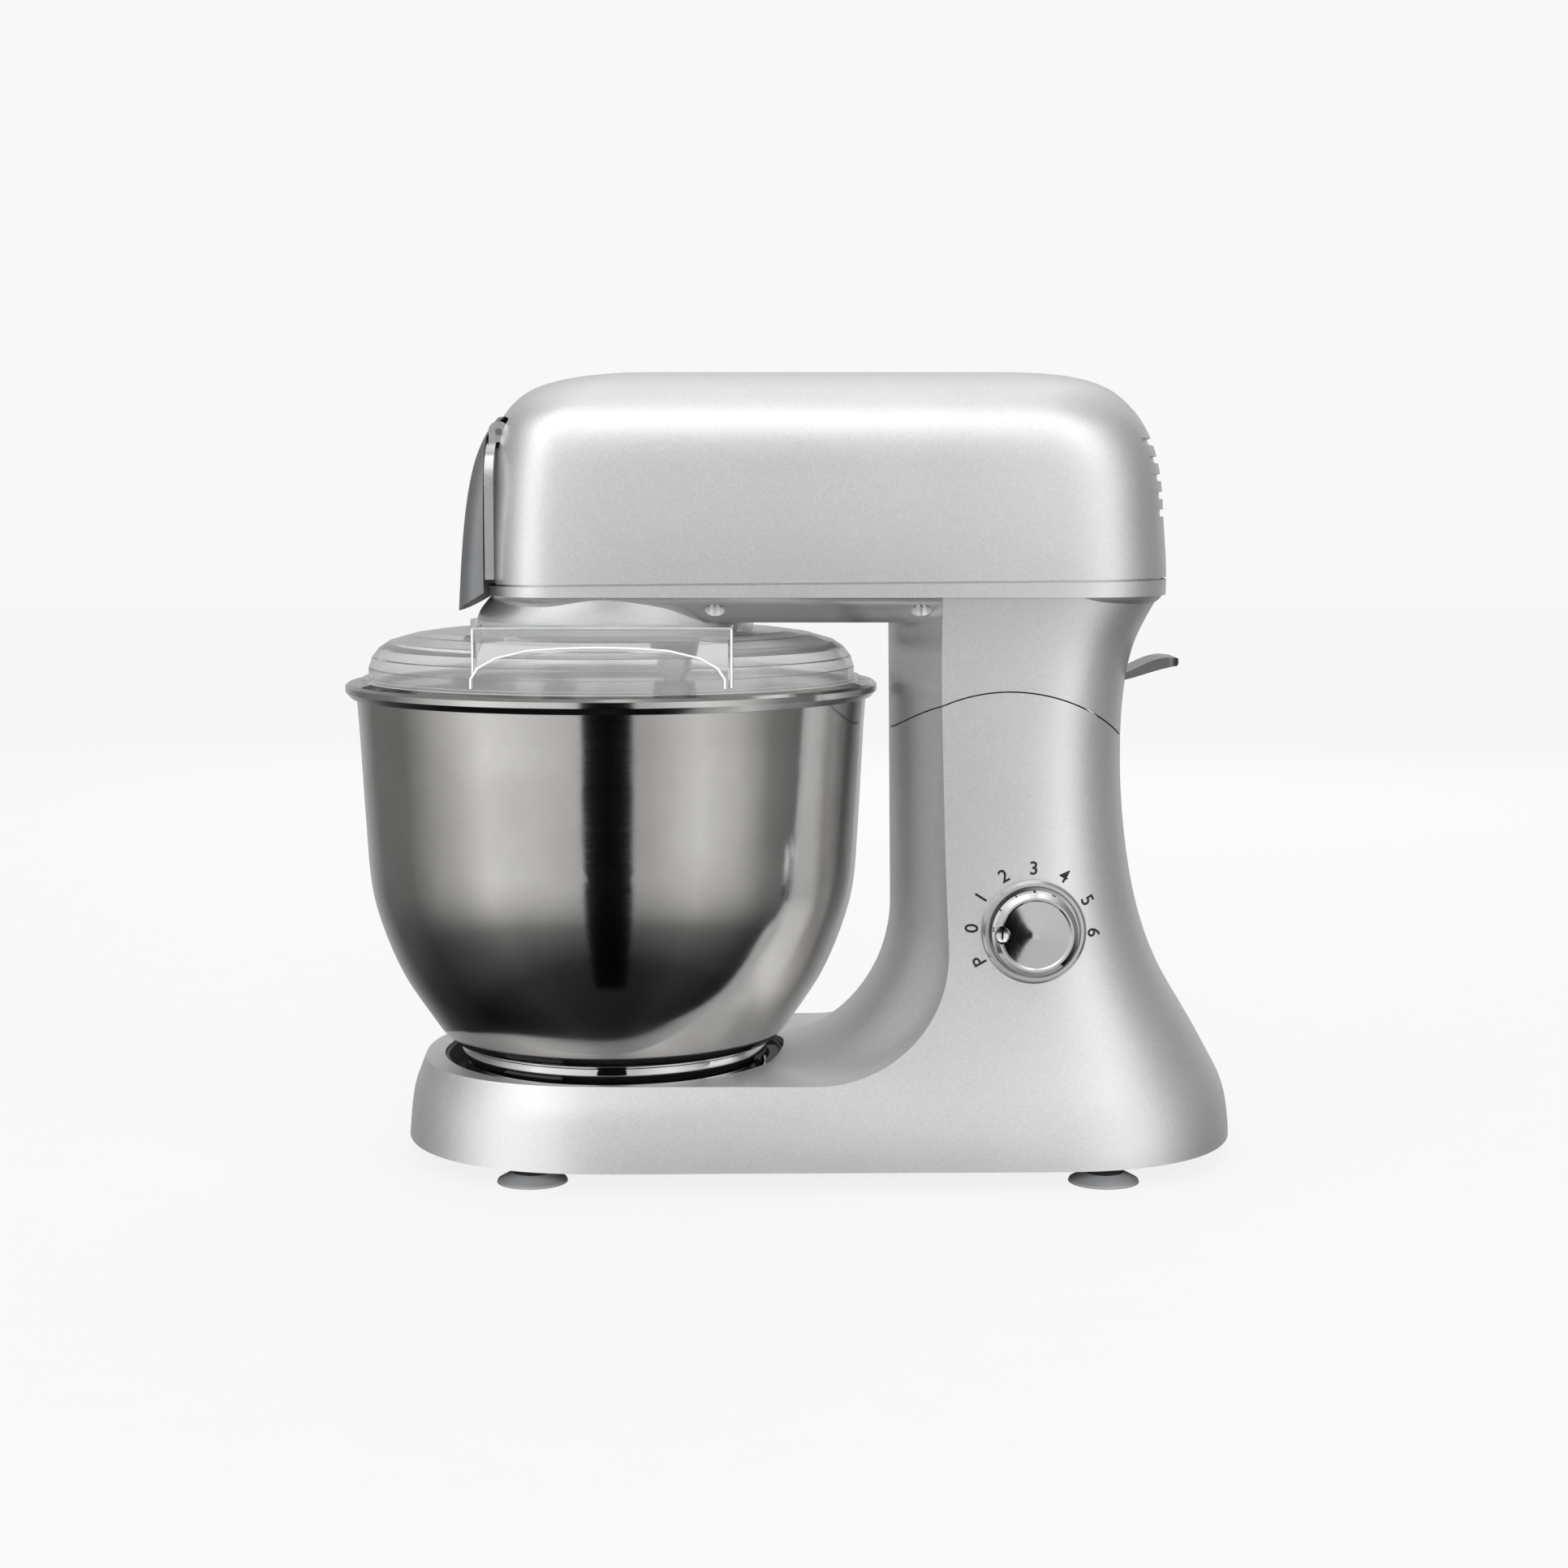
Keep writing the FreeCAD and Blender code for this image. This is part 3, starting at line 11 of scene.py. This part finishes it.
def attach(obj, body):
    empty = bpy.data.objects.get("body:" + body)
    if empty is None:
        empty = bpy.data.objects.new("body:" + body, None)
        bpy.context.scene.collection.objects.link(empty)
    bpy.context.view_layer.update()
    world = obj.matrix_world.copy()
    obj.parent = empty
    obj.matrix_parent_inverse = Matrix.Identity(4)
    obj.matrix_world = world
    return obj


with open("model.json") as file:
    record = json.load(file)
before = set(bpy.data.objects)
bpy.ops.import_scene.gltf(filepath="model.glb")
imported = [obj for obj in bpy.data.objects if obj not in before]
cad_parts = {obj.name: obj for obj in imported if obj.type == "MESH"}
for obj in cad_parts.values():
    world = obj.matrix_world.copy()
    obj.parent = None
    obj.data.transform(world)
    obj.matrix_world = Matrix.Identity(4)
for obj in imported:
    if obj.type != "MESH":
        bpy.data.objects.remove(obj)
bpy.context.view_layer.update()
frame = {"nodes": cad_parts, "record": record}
NODES = frame["nodes"]

# Axes of the bowl and of the speed knob, in metres
BOWL_X = -0.07735
KNOB_X, KNOB_Z = 0.10115, 0.1045


# ---------------------------------------------------------------- objects and meshes
def place_object(name, data):
    """New object in the scene that holds a mesh, a curve, a lamp or a camera."""
    made = bpy.data.objects.new(name, data)
    bpy.context.scene.collection.objects.link(made)
    return made


def finished_mesh(name, made):
    """Mesh with the faces of a bmesh, which is freed."""
    mesh = bpy.data.meshes.new(name)
    made.to_mesh(mesh)
    made.free()
    return mesh


def mesh_of_curve(name, curve):
    """Mesh of a curve or a text, which is removed."""
    holder = place_object(name, curve)
    bpy.context.view_layer.update()
    mesh = bpy.data.meshes.new_from_object(holder)
    bpy.data.objects.remove(holder)
    bpy.data.curves.remove(curve)
    return mesh


def shade_smooth(mesh, limit_deg=28.0):
    """Smooth shading that keeps real edges crisp."""
    mesh.shade_smooth()
    mesh.set_sharp_from_angle(angle=math.radians(limit_deg))


# ---------------------------------------------------------------- materials
class Nodes:
    """Short calls for building one material's node tree."""

    def __init__(self, name):
        self.material = bpy.data.materials.new(name)
        self.material.use_nodes = True
        self.tree = self.material.node_tree
        self.shader = self.tree.nodes["Principled BSDF"]
        self.place = self.tree.nodes.new("ShaderNodeTexCoord").outputs["Object"]

    def node(self, kind, **values):
        made = self.tree.nodes.new(kind)
        for key, value in values.items():
            setattr(made, key, value)
        return made

    def link(self, source, target):
        self.tree.links.new(source, target)

    def set(self, **values):
        for key, value in values.items():
            self.shader.inputs[key.replace("_", " ")].default_value = value

    def scaled(self, stretch):
        """Object coordinates, in metres, times a stretch along each axis."""
        mapping = self.node("ShaderNodeMapping")
        mapping.inputs["Scale"].default_value = stretch
        self.link(self.place, mapping.inputs["Vector"])
        return mapping.outputs["Vector"]

    def noise(self, scale, detail=3.0, stretch=(1, 1, 1)):
        """Soft random value, with this many blotches to the metre."""
        texture = self.node("ShaderNodeTexNoise")
        texture.inputs["Scale"].default_value = scale
        texture.inputs["Detail"].default_value = detail
        self.link(self.scaled(stretch), texture.inputs["Vector"])
        return texture.outputs["Fac"]

    def cells(self, scale):
        """Small patches, each with a value of its own."""
        texture = self.node("ShaderNodeTexVoronoi")
        texture.inputs["Scale"].default_value = scale
        self.link(self.place, texture.inputs["Vector"])
        return texture.outputs["Color"]

    def ramp(self, factor, low, high, low_at=0.3, high_at=0.7):
        """Colour between low and high."""
        ramp = self.node("ShaderNodeValToRGB")
        ramp.color_ramp.elements[0].position = low_at
        ramp.color_ramp.elements[1].position = high_at
        ramp.color_ramp.elements[0].color = (*low, 1)
        ramp.color_ramp.elements[1].color = (*high, 1)
        self.link(factor, ramp.inputs["Fac"])
        return ramp.outputs["Color"]

    def spread(self, factor, low, high):
        """Number between low and high."""
        span = self.node("ShaderNodeMapRange")
        span.inputs["To Min"].default_value = low
        span.inputs["To Max"].default_value = high
        self.link(factor, span.inputs["Value"])
        return span.outputs["Result"]

    def bump(self, height, strength, distance):
        bump = self.node("ShaderNodeBump")
        bump.inputs["Strength"].default_value = strength
        bump.inputs["Distance"].default_value = distance
        self.link(height, bump.inputs["Height"])
        self.link(bump.outputs["Normal"], self.shader.inputs["Normal"])


def finish_material(name, dark, light, rough, metallic=0.0, grain=900.0, bump=0.1, depth=0.00003,
                    stretch=(1, 1, 1), **values):
    """Mottled colour, varied roughness and a fine bump: the base of most finishes here."""
    n = Nodes(name)
    broad = n.noise(scale=38.0, detail=4.0, stretch=stretch)
    fine = n.noise(scale=grain, detail=2.0, stretch=stretch)
    n.link(n.ramp(broad, dark, light), n.shader.inputs["Base Color"])
    n.link(n.spread(fine, rough[0], rough[1]), n.shader.inputs["Roughness"])
    n.bump(fine, strength=bump, distance=depth)
    n.set(Metallic=metallic, **values)
    return n.material


def silver_lacquer():
    """Metallic lacquer: flakes that differ a little in brightness under a thin clear coat."""
    n = Nodes("silver_lacquer")
    flakes = n.cells(scale=2600.0)
    soft = n.noise(scale=24.0, detail=3.0)
    flake_grey = n.ramp(flakes, (0.84, 0.843, 0.85), (0.96, 0.963, 0.97), low_at=0.1, high_at=0.9)
    mix = n.node("ShaderNodeMix", data_type="RGBA", blend_type="MULTIPLY")
    mix.inputs["Factor"].default_value = 1.0
    n.link(flake_grey, mix.inputs["A"])
    n.link(n.ramp(soft, (0.97, 0.97, 0.97), (1.0, 1.0, 1.0)), mix.inputs["B"])
    n.link(mix.outputs["Result"], n.shader.inputs["Base Color"])
    n.link(n.spread(flakes, 0.34, 0.42), n.shader.inputs["Roughness"])
    n.bump(n.noise(scale=1400.0, detail=2.0), strength=0.06, distance=0.00002)
    n.set(Metallic=0.86, Coat_Weight=0.12, Coat_Roughness=0.2)
    return n.material


def bowl_steel():
    """Polished steel with the faint hoops that spinning leaves."""
    n = Nodes("bowl_steel")
    hoops = n.noise(scale=160.0, detail=3.0, stretch=(0.02, 0.02, 6.0))
    smears = n.noise(scale=26.0, detail=4.0)
    n.link(n.ramp(smears, (0.58, 0.57, 0.555), (0.68, 0.67, 0.655)), n.shader.inputs["Base Color"])
    n.link(n.spread(hoops, 0.085, 0.15), n.shader.inputs["Roughness"])
    n.bump(hoops, strength=0.035, distance=0.00002)
    n.set(Metallic=1.0)
    return n.material


def clear_plastic():
    """Clear moulded plastic with a slight milky haze."""
    n = Nodes("clear_plastic")
    haze = n.noise(scale=60.0, detail=3.0)
    n.link(n.spread(haze, 0.05, 0.09), n.shader.inputs["Roughness"])
    n.link(n.ramp(haze, (0.86, 0.865, 0.87), (0.9, 0.905, 0.91)), n.shader.inputs["Base Color"])
    n.bump(n.noise(scale=25.0, detail=2.0), strength=0.02, distance=0.0001)
    n.set(IOR=1.3, Transmission_Weight=0.88)
    return n.material


FINISHES = {
    "bright_chrome": dict(dark=(0.74, 0.74, 0.75), light=(0.82, 0.82, 0.83), rough=(0.03, 0.07),
                          metallic=1.0, bump=0.02),
    "grey_cover": dict(dark=(0.15, 0.154, 0.16), light=(0.18, 0.184, 0.19), rough=(0.38, 0.52),
                       metallic=0.3, grain=1500.0, bump=0.12),
    "trim_silver": dict(dark=(0.72, 0.73, 0.74), light=(0.82, 0.83, 0.84), rough=(0.14, 0.24), metallic=0.9),
    "dark_plastic": dict(dark=(0.012, 0.012, 0.014), light=(0.024, 0.024, 0.026), rough=(0.35, 0.5),
                         bump=0.15),
    "grey_plastic": dict(dark=(0.06, 0.062, 0.066), light=(0.085, 0.087, 0.09), rough=(0.45, 0.6), bump=0.15),
    "foot_rubber": dict(dark=(0.18, 0.184, 0.19), light=(0.23, 0.234, 0.24), rough=(0.5, 0.68), bump=0.2),
    "black_rubber": dict(dark=(0.01, 0.01, 0.01), light=(0.02, 0.02, 0.02), rough=(0.5, 0.7), bump=0.2),
    "cast_aluminium": dict(dark=(0.52, 0.53, 0.54), light=(0.66, 0.67, 0.68), rough=(0.32, 0.48),
                           metallic=0.95, grain=700.0, bump=0.2),
    "machined_steel": dict(dark=(0.45, 0.45, 0.46), light=(0.6, 0.6, 0.61), rough=(0.18, 0.3), metallic=1.0),
    "lamination_steel": dict(dark=(0.12, 0.12, 0.125), light=(0.2, 0.2, 0.205), rough=(0.35, 0.5),
                             metallic=0.9, grain=500.0, bump=0.5, depth=0.0001, stretch=(4.0, 0.02, 0.02)),
    "copper_winding": dict(dark=(0.36, 0.12, 0.04), light=(0.62, 0.26, 0.1), rough=(0.25, 0.4),
                           metallic=0.9, grain=450.0, bump=0.5, depth=0.0002, stretch=(0.1, 1.0, 1.0)),
    "bronze_bush": dict(dark=(0.5, 0.33, 0.13), light=(0.62, 0.43, 0.19), rough=(0.25, 0.4), metallic=1.0),
    "gear_plastic": dict(dark=(0.62, 0.59, 0.5), light=(0.74, 0.71, 0.62), rough=(0.35, 0.5)),
    "carbon": dict(dark=(0.01, 0.01, 0.01), light=(0.03, 0.03, 0.03), rough=(0.5, 0.7)),
    "board_green": dict(dark=(0.012, 0.075, 0.03), light=(0.02, 0.11, 0.045), rough=(0.3, 0.45)),
    # Chrome of the latch lever, its colour darkened to a grey that paints the dark it reflects
    "lever_chrome_painted_dark": dict(dark=(0.17, 0.17, 0.175), light=(0.22, 0.22, 0.225), rough=(0.12, 0.2),
                         metallic=1.0, bump=0.03),
    # Light grey for the beads along the guard's chute: a painted highlight where the clear plastic's edges
    # catch the light
    "edge_highlight_grey": dict(dark=(0.5, 0.51, 0.52), light=(0.62, 0.63, 0.64), rough=(0.15, 0.25), bump=0.05),
    "ink": dict(dark=(0.008, 0.008, 0.009), light=(0.016, 0.016, 0.017), rough=(0.4, 0.55)),
}
MATERIALS = {make.__name__: make() for make in (silver_lacquer, bowl_steel, clear_plastic)}
MATERIALS.update({name: finish_material(name, **values) for name, values in FINISHES.items()})

# A node takes the finish named after its material slot, apart from these
FINISH_OF = {"latch_lever": "lever_chrome_painted_dark"}


def finish_cad_nodes():
    """Give each CAD node its finish and its shading."""
    slot_of = {part["node"]: part["material_slot"] for part in frame["record"]["subparts"]}
    for name, node in NODES.items():
        node.data.materials.clear()
        node.data.materials.append(MATERIALS[FINISH_OF.get(name, slot_of[name])])
        shade_smooth(node.data)


# ---------------------------------------------------------------- detail pieces
# Edges sharper than this stay crisp on the added pieces
EDGE_LIMIT_DEG = 40.0

# Printed figures: text and place round the knob, in degrees from +X towards +Z
DIAL_MARKS = [("P", 209), ("0", 178), ("1", 148), ("2", 119), ("3", 90), ("4", 60), ("5", 27), ("6", -4)]
FIGURE_RING_R = 0.0256
FIGURE_SIZE = 0.0078
STROKE_GROWTH = 0.00011
INK_LIFT = 0.00008
# The figures are carried along +Y onto the column, starting at this Y, well in front of it
RAY_START_Y = -0.2

# Closed loop of (r, z) round the chrome band on the bowl's foot
FOOT_BAND = [(0.0655, 0.0409), (0.0666, 0.041), (0.0672, 0.0422), (0.0674, 0.0438), (0.0673, 0.0453),
             (0.0668, 0.0464), (0.0655, 0.0464)]

# Filler chute of the guard: its flat near wall, its top, its two side walls, its rear end and its foot
CHUTE_Y, CHUTE_TOP = -0.0918, 0.2315
CHUTE_X = (BOWL_X - 0.0505, BOWL_X + 0.054)
CHUTE_REAR, CHUTE_FOOT = -0.064, 0.2075
# The guard's shoulder as (r, z) from its side wall up to the dome
GUARD_CURVE = [(0.105, 0.2072), (0.105, 0.211), (0.1036, 0.2154), (0.1005, 0.2194), (0.096, 0.2224),
               (0.093, 0.2233), (0.0919, 0.2236)]
# Size and inset of the beads that paint the highlight along the chute's edges
BEAD_R, BEAD_INSET = 0.00055, 0.0004


def add_piece(name, mesh, material, body):
    """Piece with one finish that rides on a body."""
    piece = place_object(name, mesh)
    mesh.materials.clear()
    mesh.materials.append(MATERIALS[material])
    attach(piece, body)


def lathe(name, profile, centre_x, steps=160):
    """Mesh of revolution about a vertical axis; the profile is a closed loop of (r, z) in metres."""
    made = bmesh.new()
    rings = []
    for step in range(steps):
        a = 2 * math.pi * step / steps
        rings.append([made.verts.new((centre_x + r * math.cos(a), r * math.sin(a), z)) for r, z in profile])
    for one, two in zip(rings, rings[1:] + rings[:1]):
        for i in range(len(profile)):
            j = (i + 1) % len(profile)
            made.faces.new((one[i], two[i], two[j], one[j]))
    bmesh.ops.recalc_face_normals(made, faces=made.faces)
    mesh = finished_mesh(name, made)
    shade_smooth(mesh, EDGE_LIMIT_DEG)
    return mesh


def bead(name, lines, radius):
    """Thin round beads along open lines of points, joined in one mesh."""
    curve = bpy.data.curves.new(name, "CURVE")
    curve.dimensions = "3D"
    curve.bevel_depth = radius
    curve.bevel_resolution = 3
    curve.use_fill_caps = True
    for points in lines:
        spline = curve.splines.new("POLY")
        spline.points.add(len(points) - 1)
        for slot, point in zip(spline.points, points):
            slot.co = (*point, 1.0)
    mesh = mesh_of_curve(name, curve)
    shade_smooth(mesh, EDGE_LIMIT_DEG)
    return mesh


def surface_tree(name):
    """Search tree of a CAD node's surface, for laying print on it."""
    mesh = NODES[name].data
    vertices = [v.co.copy() for v in mesh.vertices]
    faces = [list(face.vertices) for face in mesh.polygons]
    return BVHTree.FromPolygons(vertices, faces)


def figure_mesh(text):
    """Flat mesh of one figure, centred on the origin."""
    curve = bpy.data.curves.new("figure", "FONT")
    curve.body = text
    curve.size = FIGURE_SIZE
    curve.align_x, curve.align_y = "CENTER", "CENTER"
    curve.resolution_u = 6
    curve.offset = STROKE_GROWTH
    return mesh_of_curve("figure", curve)


def dial_figures():
    """Generic dial figures round the knob, printed on the column."""
    housing = surface_tree("base_housing")
    made = bmesh.new()
    for text, angle in DIAL_MARKS:
        flat = figure_mesh(text)
        turn = math.radians(angle)
        lean = turn - math.pi / 2
        for vertex in flat.vertices:
            x, y = vertex.co.x, vertex.co.y
            u = x * math.cos(lean) - y * math.sin(lean) + FIGURE_RING_R * math.cos(turn)
            w = x * math.sin(lean) + y * math.cos(lean) + FIGURE_RING_R * math.sin(turn)
            start = Vector((KNOB_X + u, RAY_START_Y, KNOB_Z + w))
            hit = housing.ray_cast(start, Vector((0, 1, 0)))[0]
            vertex.co = Vector((start.x, hit.y - INK_LIFT, start.z))
        made.from_mesh(flat)
    add_piece("dial_figures", finished_mesh("dial_figures", made), "ink", "base")


def bowl_foot_band():
    """Chrome band round the bowl's foot."""
    mesh = lathe("bowl_foot_band", FOOT_BAND, BOWL_X)
    add_piece("bowl_foot_band", mesh, "bright_chrome", "bowl")


def guard_edge_highlights():
    """Beads on the chute's thick edges, its rim, its two corners and the arch where its wall meets the dome,
    in a light grey that paints the highlight these edges catch.
    """
    half = [(math.sqrt(max(r * r - CHUTE_Y ** 2, 0.0)), z) for r, z in GUARD_CURVE]
    arch = [(BOWL_X - x, CHUTE_Y, z) for x, z in half] + [(BOWL_X + x, CHUTE_Y, z) for x, z in reversed(half)]
    left, right = CHUTE_X[0] + BEAD_INSET, CHUTE_X[1] - BEAD_INSET
    top, front = CHUTE_TOP - BEAD_INSET, CHUTE_Y + BEAD_INSET
    rim = [(left, CHUTE_REAR, top), (left, front, top), (right, front, top), (right, CHUTE_REAR, top)]
    corners = [[(x, front, CHUTE_FOOT), (x, front, top)] for x in (left, right)]
    mesh = bead("guard_edge_highlights", [arch, rim] + corners, BEAD_R)
    add_piece("guard_edge_highlights", mesh, "edge_highlight_grey", "head")


# ---------------------------------------------------------------- studio
PALE = (0.94, 0.94, 0.94, 1)
FLOOR_HALF_SIZE = 6.0

# The room that reflections see: height from straight down (0) to straight up (1), and brightness there
ROOM_STOPS = [(0.0, 0.02), (0.12, 0.04), (0.24, 0.22), (0.36, 0.75), (0.45, 1.0), (0.72, 0.95), (0.88, 1.4),
              (1.0, 1.5)]
# Its walls: share of a full turn about +Z, from -X past -Y at a quarter turn, and brightness there
WALL_STOPS = [(0.0, 0.42), (0.05, 0.72), (0.095, 1.1), (0.14, 0.95), (0.21, 0.76), (0.3, 0.62), (0.37, 0.98),
              (0.42, 0.72), (0.47, 0.28), (0.535, 0.14), (0.6, 0.2), (0.68, 0.55), (0.82, 0.45), (0.88, 0.2),
              (0.96, 0.22), (1.0, 0.4)]

# Card behind the camera
CARD_LEFT, CARD_RIGHT = -0.27, 0.165
CARD_Y, CARD_HALF_HEIGHT = -1.16, 1.6

# Each lamp's name, place, target, size (metres) and power (watts)
LAMPS = [
    ("ceiling_light", (-0.1, -0.1, 1.5), (0.0, 0.0, 0.2), (1.3, 0.6), 8.0),
    ("front_light", (0.0, -1.7, 0.6), (0.03, 0.0, 0.17), (0.7, 0.7), 36.0),
    ("back_light", (0.2, 1.6, 0.9), (0.0, 0.0, 0.2), (1.6, 1.0), 16.0),
]

CAMERA_PLACE = (-0.0027, -1.1279, 0.2813)
CAMERA_DIP_DEG = 6.19
SENSOR_MM, LENS_MM = 36.0, 59.5
CLIP_END = 50.0


def pale_floor():
    """Floor with a pale light of its own, left out of reflections and bounced light."""
    made = bmesh.new()
    bmesh.ops.create_grid(made, x_segments=8, y_segments=8, size=FLOOR_HALF_SIZE)
    mesh = finished_mesh("floor", made)
    floor = place_object("floor", mesh)
    paper = finish_material("floor_paper", (0.05, 0.05, 0.05), (0.052, 0.052, 0.052), (0.8, 0.9), bump=0.0,
                            Emission_Color=PALE, Emission_Strength=0.9)
    mesh.materials.append(paper)
    floor.visible_glossy = False
    floor.visible_diffuse = False


def grey_stops(tree, stops, factor):
    """Colour ramp of greys; each stop is a place from 0 to 1 and a brightness."""
    node = tree.nodes.new("ShaderNodeValToRGB")
    ramp = node.color_ramp
    while len(ramp.elements) < len(stops):
        ramp.elements.new(0.5)
    for element, (place, grey) in zip(ramp.elements, stops):
        element.position = place
        element.color = (grey, grey, grey, 1)
    tree.links.new(factor, node.inputs["Fac"])
    return node.outputs["Color"]


def room_colour(tree):
    """Brightness of the grey room in each direction: by height, times by side."""
    new = tree.nodes.new
    link = tree.links.new
    directions = new("ShaderNodeTexCoord").outputs["Generated"]
    split = new("ShaderNodeSeparateXYZ")
    link(directions, split.inputs["Vector"])
    height = new("ShaderNodeMapRange")
    height.inputs["From Min"].default_value = -1.0
    link(split.outputs["Z"], height.inputs["Value"])
    round_about = new("ShaderNodeTexGradient")
    round_about.gradient_type = "RADIAL"
    link(directions, round_about.inputs["Vector"])
    product = new("ShaderNodeMix")
    product.data_type = "RGBA"
    product.blend_type = "MULTIPLY"
    product.inputs["Factor"].default_value = 1.0
    link(grey_stops(tree, ROOM_STOPS, height.outputs["Result"]), product.inputs["A"])
    link(grey_stops(tree, WALL_STOPS, round_about.outputs["Fac"]), product.inputs["B"])
    return product.outputs["Result"]


def studio_world():
    """Pale to the camera and through clear plastic; reflections and bounced light see the grey room."""
    world = bpy.data.worlds.new("studio")
    bpy.context.scene.world = world
    world.use_nodes = True
    tree = world.node_tree
    for node in list(tree.nodes):
        tree.nodes.remove(node)
    new = tree.nodes.new
    link = tree.links.new
    grey_room = new("ShaderNodeBackground")
    link(room_colour(tree), grey_room.inputs["Color"])
    pale = new("ShaderNodeBackground")
    pale.inputs["Color"].default_value = PALE
    path = new("ShaderNodeLightPath")
    seen = new("ShaderNodeMath")
    seen.operation = "MAXIMUM"
    link(path.outputs["Is Camera Ray"], seen.inputs[0])
    link(path.outputs["Is Transmission Ray"], seen.inputs[1])
    mix = new("ShaderNodeMixShader")
    link(seen.outputs["Value"], mix.inputs["Fac"])
    link(grey_room.outputs["Background"], mix.inputs[1])
    link(pale.outputs["Background"], mix.inputs[2])
    output = new("ShaderNodeOutputWorld")
    link(mix.outputs["Shader"], output.inputs["Surface"])


def dark_card():
    """Tall black card just behind the camera, seen only in reflections."""
    made = bmesh.new()
    corners = [(CARD_LEFT, CARD_HALF_HEIGHT), (CARD_RIGHT, CARD_HALF_HEIGHT), (CARD_RIGHT, -CARD_HALF_HEIGHT),
               (CARD_LEFT, -CARD_HALF_HEIGHT)]
    made.faces.new([made.verts.new((x, CARD_Y, z)) for x, z in corners])
    mesh = finished_mesh("dark_card", made)
    card = place_object("dark_card", mesh)
    black = finish_material("card_black", (0.004, 0.004, 0.004), (0.006, 0.006, 0.006), (0.9, 1.0), bump=0.0,
                            Specular_IOR_Level=0.0)
    mesh.materials.append(black)
    for ray in ("camera", "diffuse", "transmission", "shadow"):
        setattr(card, "visible_" + ray, False)


def area_light(name, place, target, size, power):
    """Soft lamp that isn't mirrored in the object or seen through it."""
    data = bpy.data.lights.new(name, "AREA")
    data.shape = "RECTANGLE"
    data.size, data.size_y = size
    data.energy = power
    lamp = place_object(name, data)
    lamp.location = place
    lamp.rotation_euler = (Vector(target) - Vector(place)).to_track_quat("-Z", "Y").to_euler()
    lamp.visible_glossy = False
    lamp.visible_transmission = False


def studio():
    pale_floor()
    studio_world()
    dark_card()
    for lamp in LAMPS:
        area_light(*lamp)


def camera():
    data = bpy.data.cameras.new("camera")
    data.sensor_width = SENSOR_MM
    data.lens = LENS_MM
    data.clip_end = CLIP_END
    made = place_object("camera", data)
    made.location = CAMERA_PLACE
    made.rotation_euler = (math.radians(90.0 - CAMERA_DIP_DEG), 0.0, 0.0)
    bpy.context.scene.camera = made
    bpy.context.scene.view_settings.view_transform = "Standard"


finish_cad_nodes()
dial_figures()
bowl_foot_band()
guard_edge_highlights()
studio()
camera()
